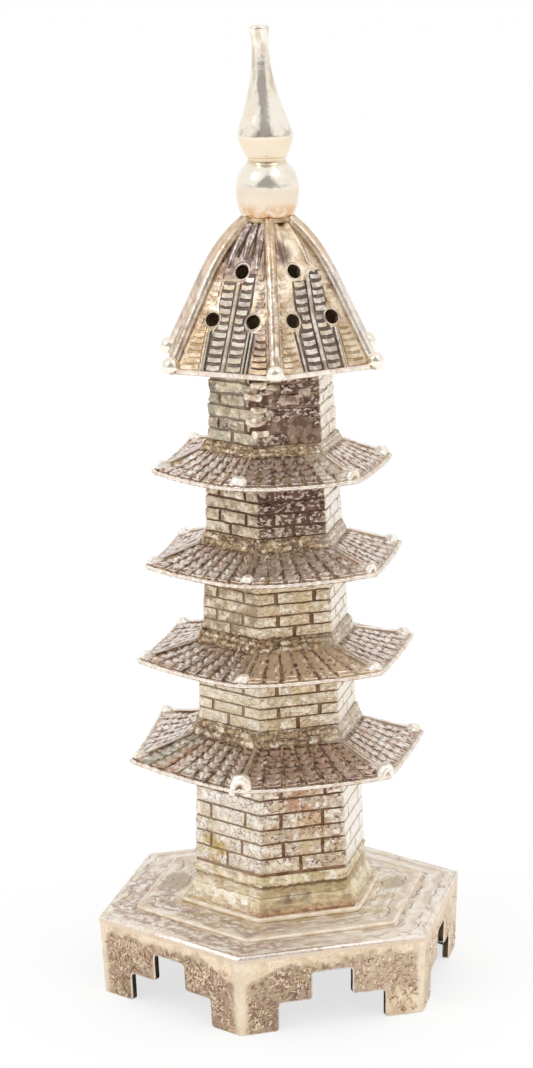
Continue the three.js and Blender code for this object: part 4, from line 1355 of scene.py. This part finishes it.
def model_knob():
    """A fat curl like an upturned U with a slit between its legs, about 1 across, looking towards -Y."""
    points = [(x, -0.2, z) for x, z, _ in CURL]
    curl = wire("curl", points, 0.245, [thick for _, _, thick in CURL], roundness=4)
    return melt(curl, model_round("root", 20, 12, (0.02, 0.18, 0.1), (0.36, 0.48, 0.32)))


def model_nub():
    """A plain worn nub with a low second lobe, for the smaller tips."""
    nub = model_round("nub_model", 24, 14, (0.05, -0.05, 0.05), (0.42, 0.46, 0.44))
    nub = melt(nub, model_round("lobe", 20, 12, (-0.3, 0.0, -0.14), (0.24, 0.34, 0.26)))
    for vertex in nub.data.vertices:
        vertex.co += vertex.co.normalized() * 0.08 * noise.noise(vertex.co * 3.5)
    return nub


def dress_knobs(number, skirt, knob, nub):
    rng = random.Random(80 + number)
    for corner in range(SIDES):
        node = f"eave_{number}_knob_{corner + 1}"
        low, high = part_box(node)
        centre = (low + high) / 2 - UP * KNOB_DROP
        outward = skirt.corners[corner]
        across = square_to(outward)
        wide, deep, tall = (size * MM * rng.uniform(0.93, 1.07)
                            for size in KNOB_SIZES.get((number, corner), KNOB_SIZE))
        lean = rng.uniform(-0.15, 0.15)
        model = knob if (number, corner) in CURLED_KNOBS else nub
        piece = new_piece(f"{node}_curl", model.data.copy())
        for vertex in piece.data.vertices:
            x, y, z = vertex.co
            vertex.co = centre + across * (wide * (x + lean * z)) - outward * (deep * y) + UP * (tall * z)
        settle(fix_normals(piece), 60, "tower", knob_finish, [node])


def dress_eave(number, models):
    tile, end_tile, knob, nub, stone = models
    node = f"eave_{number}"
    sheet = copy_node(node, f"{node}_sheet", flat_faces=False)
    settle(sheet, 28, "tower", eave_finish, [node])
    skirt = Skirt(number)
    tile_eave(number, skirt, tile, end_tile)
    edge_eave(number, skirt)
    dress_neck(number, skirt, stone)
    dress_knobs(number, skirt, knob, nub)


# Cap

class Roof:
    """The six flats of the roof, measured on the model, and the strips and bars that are laid on them."""

    def __init__(self):
        ball_low, ball_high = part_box("roof_ball_1")
        ball = (ball_low + ball_high) / 2
        self.turn = math.degrees(math.atan2(ball.x, -ball.y))
        low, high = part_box("roof_shell")
        self.bottom, self.top = low.z, high.z
        surface = skin("roof_shell")
        probe = direction(30 + ROOF_PROBE_DEGREES + self.turn)
        self.table = []
        for step in range(ROOF_STEPS + 1):
            z = self.bottom + (self.top - self.bottom) * limit(step / ROOF_STEPS, 0.002, 0.995)
            hit = surface.ray_cast(probe * 2 * high.x + UP * z, -probe)[0]
            self.table.append(hit.xy.length * math.cos(math.radians(ROOF_PROBE_DEGREES)))
        self.strips = defaultdict(list)
        self.bars = defaultdict(list)

    def apothem(self, rise):
        share = limit(rise / (self.top - self.bottom)) * ROOF_STEPS
        index = min(int(share), ROOF_STEPS - 1)
        return self.table[index] + (self.table[index + 1] - self.table[index]) * (share - index)

    def half_width(self, rise):
        return self.apothem(rise) * math.tan(math.pi / SIDES)

    def point(self, side, x, rise, lift=0.0):
        """A point on a flat: x from its middle, rise from the rim's lower edge, lift square to it."""
        outward = direction(60 * side + 30 + self.turn)
        slope = (self.apothem(rise - 0.2 * MM) - self.apothem(rise + 0.2 * MM)) / (0.4 * MM)
        normal = (outward + UP * slope).normalized()
        place = outward * self.apothem(rise) + square_to(outward) * x + UP * (self.bottom + rise)
        return place + normal * lift

    def lay_strip(self, name, side, left, right, foot, head, lift, steps=14):
        """A plate between two lines, which are functions of the rise."""
        points = []
        for k in range(steps + 1):
            rise = foot + (head - foot) * k / steps
            points += [self.point(side, x, rise, up)
                       for up in (lift, -STRIP_DEPTH) for x in (left(rise), right(rise))]
        faces = [(a + i, a + j, a + 4 + j, a + 4 + i) for a in range(0, 4 * steps, 4)
                 for i, j in ((0, 1), (1, 3), (3, 2), (2, 0))]
        last = 4 * steps
        faces += [(0, 2, 3, 1), (last, last + 1, last + 3, last + 2)]
        self.strips[name].append(fix_normals(from_points("strip", points, faces=faces)))

    def lay_straight(self, name, side, middle, half, head, lift):
        self.lay_strip(name, side, lambda rise: middle - half, lambda rise: middle + half,
                       RIM_HEIGHT, head, lift)

    def lay_bar(self, name, side, middle, rise, width, thick, lift, rng):
        thickness = thick * rng.uniform(0.88, 1.12)
        height = BAR_RISE * lift * rng.uniform(0.85, 1.15)
        tilt = rng.uniform(-0.06, 0.06)
        width = width * rng.uniform(0.92, 1.0)
        middle = middle + width * rng.uniform(-0.03, 0.03)

        def place(p):
            bow = BAR_BOW * (1 - (2 * p.x) ** 2)
            up = rise + thickness * p.y + tilt * width * p.x - bow
            return self.point(side, middle + width * p.x, up, height * (p.z + 0.3))

        self.bars[name].append(place)


def dress_roof():
    rng = random.Random(3)
    roof = Roof()
    shell = copy_node("roof_shell", "roof_shell_finished")
    bevel(shell, 0.06 * MM, 1, 40)
    settle(shell, 30, "cap", roof_finish, ["roof_shell"])
    for side in range(SIDES):
        for sign in (-1, 1):
            add_ladder(roof, side, sign, rng)
            add_side_column(roof, side, sign, rng)
        head = UPPER_HOLE_RISE - (0.5 if side == STRAY_SIDE else 1.0) * MM
        half = BATTEN_WIDTH / 2
        roof.lay_strip("roof_battens", side, lambda rise: batten_shift(side, rise) - half,
                       lambda rise: batten_shift(side, rise) + half, RIM_HEIGHT, head, 0.26 * MM)
    # The scallop grounds take the golden olive painted shade between the scallops
    for name, finish in (("roof_channels", channel_finish), ("roof_battens", bars_finish),
                         ("roof_scallop_grounds", olive_shade), ("roof_dark_grounds", hidden)):
        piece = join(name, roof.strips[name])
        if name == "roof_battens":
            bevel(piece, 0.08 * MM, 2, 40)
        settle(piece, 50, "cap", finish)
    bar = model_block("bar_model", (0.92, 0.74))
    subdivide(bar, 1)
    for name, finish in (("roof_rungs", bars_finish), ("roof_scallops", roof_finish)):
        settle(scatter(name, bar, roof.bars[name]), 50, "cap", finish)
    bpy.data.objects.remove(bar)
    dress_flutes(roof)
    edge_roof(roof, rng)
    return roof


def dress_flutes(roof):
    """Ridges that run together under the finial on each flat, bold on every second flat."""
    wires = defaultdict(list)
    for side in range(SIDES):
        bold = side % 2
        name, shares, sunk = (("roof_flutes", (-0.56, -0.02, 0.54), -0.1 * MM) if bold
                              else ("roof_folds", (-0.5, 0.42), -0.2 * MM))
        for share in shares:
            foot = (11.2 if abs(share) < 0.4 else 10.3) * MM
            rises = [foot + (FLUTE_HEAD - foot) * k / 8 for k in range(9)]
            points = [roof.point(side, share * roof.half_width(rise) * 0.92, rise, sunk) for rise in rises]
            radii = [0.4 + 0.6 * math.sin(math.pi * min(1, (k + 1) / 6) / 2) for k in range(9)]
            wires[name].append(wire("flute", points, FLUTE_RADIUS, radii))
        for share in (-0.8, -0.29, 0.26, 0.8) if bold else ():
            foot = (11.3 if abs(share) < 0.4 else 10.8) * MM
            roof.lay_strip("roof_flute_grooves", side,
                           lambda rise: share * roof.half_width(rise) - GROOVE_HALF,
                           lambda rise: share * roof.half_width(rise) + GROOVE_HALF,
                           foot, GROOVE_HEAD, 0.05 * MM)
    for name, pieces, finish in (("roof_flutes", wires["roof_flutes"], flute),
                                 ("roof_folds", wires["roof_folds"], roof_finish),
                                 ("roof_flute_grooves", roof.strips["roof_flute_grooves"], hidden)):
        settle(join(name, pieces), 50, "cap", finish)


def add_ladder(roof, side, sign, rng):
    """A column of rungs on a dark ground, beside the middle batten of a flat."""
    head = UPPER_HOLE_RISE - (0.95 if sign < 0 else 0.1) * MM

    def near(rise):
        beside_hole = side != STRAY_SIDE and sign > 0
        return max(0.32 * MM, chord(rise, UPPER_HOLE_RISE)) if beside_hole else 0.32 * MM

    def far(rise):
        beside_hole = LOWER_HOLE_SHIFT - chord(rise, LOWER_HOLE_RISE) - 0.1 * MM
        return min(ladder_reach(rise), beside_hole - sign * batten_shift(side, rise))

    def ground(measure, more):
        return lambda rise: batten_shift(side, rise) + sign * (measure(rise) + more)

    roof.lay_strip("roof_channels", side, ground(near, (-0.25 if side == STRAY_SIDE else 0.02) * MM),
                   ground(far, 0.1 * MM), RIM_HEIGHT, head, 0.03 * MM, steps=30)
    rise = RIM_HEIGHT + 0.35 * MM
    while rise < head:
        width = far(rise) - near(rise)
        if width > 0.4 * MM:
            middle = batten_shift(side, rise) + sign * (near(rise) + width / 2)
            roof.lay_bar("roof_rungs", side, middle, rise, width, BAR_THICKNESS, 1.0, rng)
        rise += BAR_PITCH * rng.uniform(0.93, 1.07)


def add_side_column(roof, side, sign, rng):
    """The batten under a lower hole, and shallow scallops from there to the rib and up along it."""
    head = LOWER_HOLE_RISE - 1.0 * MM
    half = SIDE_BATTEN_WIDTH / 2
    double = sign > 0 and side != STRAY_SIDE
    dark = sign > 0 and side % 2
    for shift in (-0.16 * MM, 0.24 * MM) if double else (0,):
        middle = sign * (SIDE_BATTEN + shift)
        roof.lay_straight("roof_battens", side, middle, half, head, 0.22 * MM)
        roof.lay_straight("roof_channels", side, middle, half + 0.13 * MM, head, 0.032 * MM)
    name, near, clear, top, lift = (("roof_dark_grounds", 0.75, 0.95, 3.7 * MM, 0.035) if dark else
                                    ("roof_scallop_grounds", 0.68 if double else 0.48, 0.98, head, 0.02))
    roof.lay_strip(name, side, lambda rise: sign * (SIDE_BATTEN + near * MM),
                   lambda rise: sign * (roof.half_width(rise) - clear * MM), RIM_HEIGHT, top, lift * MM)
    rise = RIM_HEIGHT + 0.3 * MM
    while rise < UPPER_HOLE_RISE:
        if rise < head:
            start, lift, spacing = SIDE_BATTEN + (0.6 if double else 0.4) * MM, 0.8, 1
        else:
            start, lift, spacing = ladder_reach(rise) + 0.35 * MM, 0.7, 1.35
            if rise < LOWER_HOLE_RISE + MM:
                start = max(start, LOWER_HOLE_SHIFT + chord(rise, LOWER_HOLE_RISE))
        reach = roof.half_width(rise) - SCALLOP_END
        if reach - start > 0.45 * MM:
            roof.lay_bar("roof_scallops", side, sign * (start + reach) / 2, rise, reach - start,
                         SCALLOP_THICKNESS, lift, rng)
        rise += SCALLOP_PITCH * rng.uniform(0.9, 1.1) * spacing


def between_holes(rise):
    """0 at the lower holes and 1 at the upper hole."""
    return limit((rise - LOWER_HOLE_RISE) / (UPPER_HOLE_RISE - LOWER_HOLE_RISE))


def batten_shift(side, rise):
    """How far the middle batten lies off the middle of its flat."""
    return STRAY_BATTEN * between_holes(rise) if side == STRAY_SIDE else 0.0


def ladder_reach(rise):
    """How far the rungs reach from the middle batten: less between the lower holes and towards the top."""
    pinch = math.exp(-((rise - LOWER_HOLE_RISE) / MM) ** 2)
    return (1.95 - 0.4 * between_holes(rise) - 0.45 * pinch) * MM


def chord(rise, centre):
    """Half the width of a hole's surround at a height."""
    return math.sqrt(max(0.0, HOLE_SURROUND ** 2 - (rise - centre) ** 2))


def edge_roof(roof, rng):
    """The plain band along the rim, the rubbed edges of the holes and the hooked end of one batten."""
    for side in range(SIDES):
        roof.lay_strip("roof_rim_band", side, lambda rise: RIM_BAND_END - roof.half_width(rise),
                       lambda rise: roof.half_width(rise) - RIM_BAND_END,
                       0.03 * MM, RIM_HEIGHT, 0.07 * MM, steps=4)
    band = join("roof_rim_band", roof.strips["roof_rim_band"])
    bevel(band, 0.05 * MM, 1, 40)
    settle(band, 40, "cap", edge)
    rims = []
    for side in range(SIDES):
        for x, rise in ((STRAY_SHIFT if side == STRAY_SIDE else 0, UPPER_HOLE_RISE),
                        (-LOWER_HOLE_SHIFT, LOWER_HOLE_RISE), (LOWER_HOLE_SHIFT, LOWER_HOLE_RISE)):
            angles = [2 * math.pi * step / HOLE_POINTS for step in range(HOLE_POINTS)]
            points = [roof.point(side, x + HOLE_RIM * math.cos(angle), rise + HOLE_RIM * math.sin(angle),
                                 -0.03 * MM) for angle in angles]
            radii = [rng.uniform(0.75, 1.1) for _ in angles]
            rims.append(wire("hole_rim", points, 0.09 * MM, radii, closed=True))
    points = [roof.point(STRAY_SIDE, x * MM, rise * MM, 0.08 * MM) for x, rise in HOOK]
    rims.append(wire("batten_hook", points, 0.2 * MM))
    settle(join("roof_hole_rims", rims), 60, "cap", bars_finish)


def dress_ribs(roof):
    """A round wire up each hip, with a ball at its foot."""
    for number in range(1, SIDES + 1):
        outward = direction(60 * (number - 1) + roof.turn)
        rises = [(0.9 + 13.75 * k / RIB_POINTS) * MM for k in range(RIB_POINTS + 1)]
        points = [outward * (roof.apothem(rise) / FLAT) + UP * (roof.bottom + rise) for rise in rises]
        piece = wire(f"roof_rib_{number}_finished", points, RIB_RADIUS, roundness=4)
        settle(piece, 60, "cap", rib, [f"roof_rib_{number}"])
        low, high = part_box(f"roof_ball_{number}")
        centre = outward * (outward.dot((low + high) / 2) - 0.1 * MM) + UP * (low.z + high.z) / 2
        bpy.ops.mesh.primitive_uv_sphere_add(segments=28, ring_count=16, radius=BALL_RADIUS, location=centre)
        ball = newest(f"roof_ball_{number}_finished")
        for vertex in ball.data.vertices:
            vertex.co += noise.noise_vector(vertex.co / MM * 0.9) * 0.06 * MM
        settle(ball, 60, "cap", polished, [f"roof_ball_{number}"])


def turn_piece(name, rows, centre):
    """Spin an outline of (radius, height) about the axis, close its ends and let it lean."""
    lines = [(k, k + 1) for k in range(len(rows) - 1)]
    piece = from_points(name, [(radius, 0, z) for radius, z in rows], lines)
    with editing(piece, "VERT"):
        bpy.ops.mesh.spin(steps=64, angle=2 * math.pi, center=(0, 0, 0), axis=(0, 0, 1))
        pick_all()
        bpy.ops.mesh.remove_doubles(threshold=0.002 * MM)
        bpy.ops.mesh.select_all(action="DESELECT")
        bpy.ops.mesh.select_mode(type="EDGE")
        bpy.ops.mesh.select_non_manifold()
        bpy.ops.mesh.edge_face_add()
        pick_all()
        bpy.ops.mesh.normals_make_consistent(inside=False)
    for vertex in piece.data.vertices:
        middle = centre(vertex.co.z)
        vertex.co.x += middle.x
        vertex.co.y += middle.y
    return piece


def dress_finial():
    """The finial's ball and its bottle-shaped spire, turned smooth."""
    ball_low, ball_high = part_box("finial_ball")
    spire_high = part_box("finial_spire")[1]
    waist = ball_high.z
    top = [v.co for v in solid("finial_spire").vertices if v.co.z > spire_high.z - 0.5 * MM]
    tip = sum(top, Vector()) / len(top)
    lean = Vector((tip.x, tip.y, 0)) / (tip.z - waist)

    def centre(z):
        return lean * max(z - waist, 0)

    radius = (ball_high.x - ball_low.x) / 2
    widest = max((v.co for v in solid("finial_ball").vertices), key=lambda co: co.xy.length).z
    waist_radius = ring_radius("finial_ball", waist)
    seat_radius = ring_radius("finial_ball", ball_low.z)
    low_angle = -math.acos(seat_radius / radius)
    high_angle = math.acos(waist_radius / radius)
    lower = (widest - ball_low.z) / -math.sin(low_angle)
    upper = (waist - widest) / math.sin(high_angle)
    rows = []
    for k in range(25):
        angle = low_angle + (high_angle - low_angle) * k / 24
        tall = lower if angle < 0 else upper
        rows.append((radius * math.cos(angle), widest + tall * math.sin(angle)))
    ball = turn_piece("finial_ball_finished", rows, lambda z: Vector())
    settle(ball, 50, "cap", polished, ["finial_ball"])

    start, end = WAIST_FILLET_ARC
    arc = [math.radians(start + (end - start) * k / 8) for k in range(9)]
    fillet = [(waist_radius + (WAIST_FILLET_OUT + WAIST_FILLET * math.cos(angle)) * MM,
               waist + (WAIST_FILLET_UP + WAIST_FILLET * math.sin(angle)) * MM) for angle in arc]
    settle(turn_piece("finial_waist_seam", fillet, centre), 60, "cap", polished)

    # A ring where the ball meets the roof, coloured as a painted shadow line
    bpy.ops.mesh.primitive_torus_add(major_radius=seat_radius + 0.02 * MM, minor_radius=SOLDER_RADIUS,
                                     major_segments=64, minor_segments=10,
                                     location=(0, 0, ball_low.z + 0.02 * MM))
    settle(newest("finial_solder"), 60, "cap", olive_shade)

    # The bottle: a bowl up to a crease at the shoulder, then a slope that hollows into the neck
    length = spire_high.z - waist
    rows = [(r * MM, waist + h / BOTTLE[-1][1] * length) for r, h in BOTTLE]
    spire = turn_piece("finial_spire_finished", rows, centre)
    modify(spire, "SUBSURF", levels=1, render_levels=1)
    settle(spire, 40, "cap", polished, ["finial_spire"])


def dress_inside():
    for node, body in (("mouth_ring", "tower"), ("cap_collar", "collar"), ("cap_plate", "cap"),
                       ("finial_nut", "cap")):
        piece = copy_node(node, f"{node}_finished")
        bevel(piece, 0.06 * MM, 2, 45)
        settle(piece, 35, body, inner, [node])


bpy.context.scene.view_settings.view_transform = "Standard"
add_camera()
add_tent()
add_lamps()
add_floor()

polished = polished_metal()
rib = rib_metal()
brick = brick_metal()
joint = joint_metal()
tiles_finish = tile_metal()
eave_finish = eave_metal()
neck_finish = neck_metal()
lumps = lump_metal()
apron = apron_metal()
deck = deck_metal()
plinth = plinth_metal()
roof_finish = roof_metal()
bars_finish = bar_metal()
edge = plain_metal("rubbed_silver", WHITE_CREAM, PALE_PINK, (21, 0.8, 0.4, 0.6), 0.3,
                   (24, 0.45, 4), 0.06, [((222, 190, 162), 0.6, (22, 1.3, 0.53, 0.66)),
                                         ((176, 144, 122), 0.5, (23, 0.5, 0.6, 0.7))])
channel_finish = plain_metal("channel_tarnish", (110, 95, 88), (142, 124, 112), (111, 0.7, 0.42, 0.66), 0.5,
                             (112, 0.3), 0.03)
inner = plain_metal("inner_silver", (200, 188, 170), (170, 154, 134), (131, 2.0, 0.4, 0.65), 0.42,
                    (132, 0.6, 4), 0.03)
hidden = plain_metal("hidden_tarnish", (84, 66, 52), (120, 98, 76), (151, 1.2, 0.42, 0.64), 0.5,
                     (152, 0.6), 0.04)
# Golden olive painted shade: the step sides under the beads, the grounds between the roof's scallops and the
# ring at the finial's foot
olive_shade = plain_metal("step_side_silver", (166, 142, 104), (212, 192, 158), (161, 1.6, 0.42, 0.62, 4), 0.4,
                        (162, 0.5), 0.05)
knob_finish = plain_metal("knob_silver", (255, 250, 242), (246, 232, 212), (25, 0.9, 0.46, 0.62), 0.26,
                          (27, 0.5), 0.05, [((222, 192, 156), 0.4, (26, 0.7, 0.58, 0.7))], metallic=0.5)
dashes = plain_metal("dash_silver", (246, 232, 212), (196, 170, 144), (191, 0.7, 0.4, 0.58, 4), 0.34,
                     (193, 0.3), 0.04, [((232, 208, 190), 0.8, (192, 2.2, 0.46, 0.6))])
beads = plain_metal("bead_silver", (250, 238, 220), (236, 218, 190), (201, 1.4, 0.42, 0.6), 0.36,
                    (202, 0.5), 0.05, metallic=0.3)
flute = plain_metal("flute_silver", (226, 212, 202), (166, 146, 140), (181, 0.8, 0.4, 0.56, 3, LONGISH), 0.3,
                    (183, 0.5), 0.05, [((116, 96, 92), 0.8, (182, 0.9, 0.5, 0.62))])

dress_base()
chase_apron()
for storey in range(1, 6):
    build_bricks(storey)
    wall = solid(f"storey_{storey}")
    wall.materials.clear()
    wall.materials.append(joint)
lump_model = model_lump()
add_lumps(lump_model)
eave_models = (model_tile(), model_end_tile(), model_knob(), model_nub(), model_stone())
for eave in range(1, 5):
    dress_eave(eave, eave_models)
for model in (lump_model, *eave_models):
    bpy.data.objects.remove(model)
roof_shape = dress_roof()
dress_ribs(roof_shape)
dress_finial()
dress_inside()
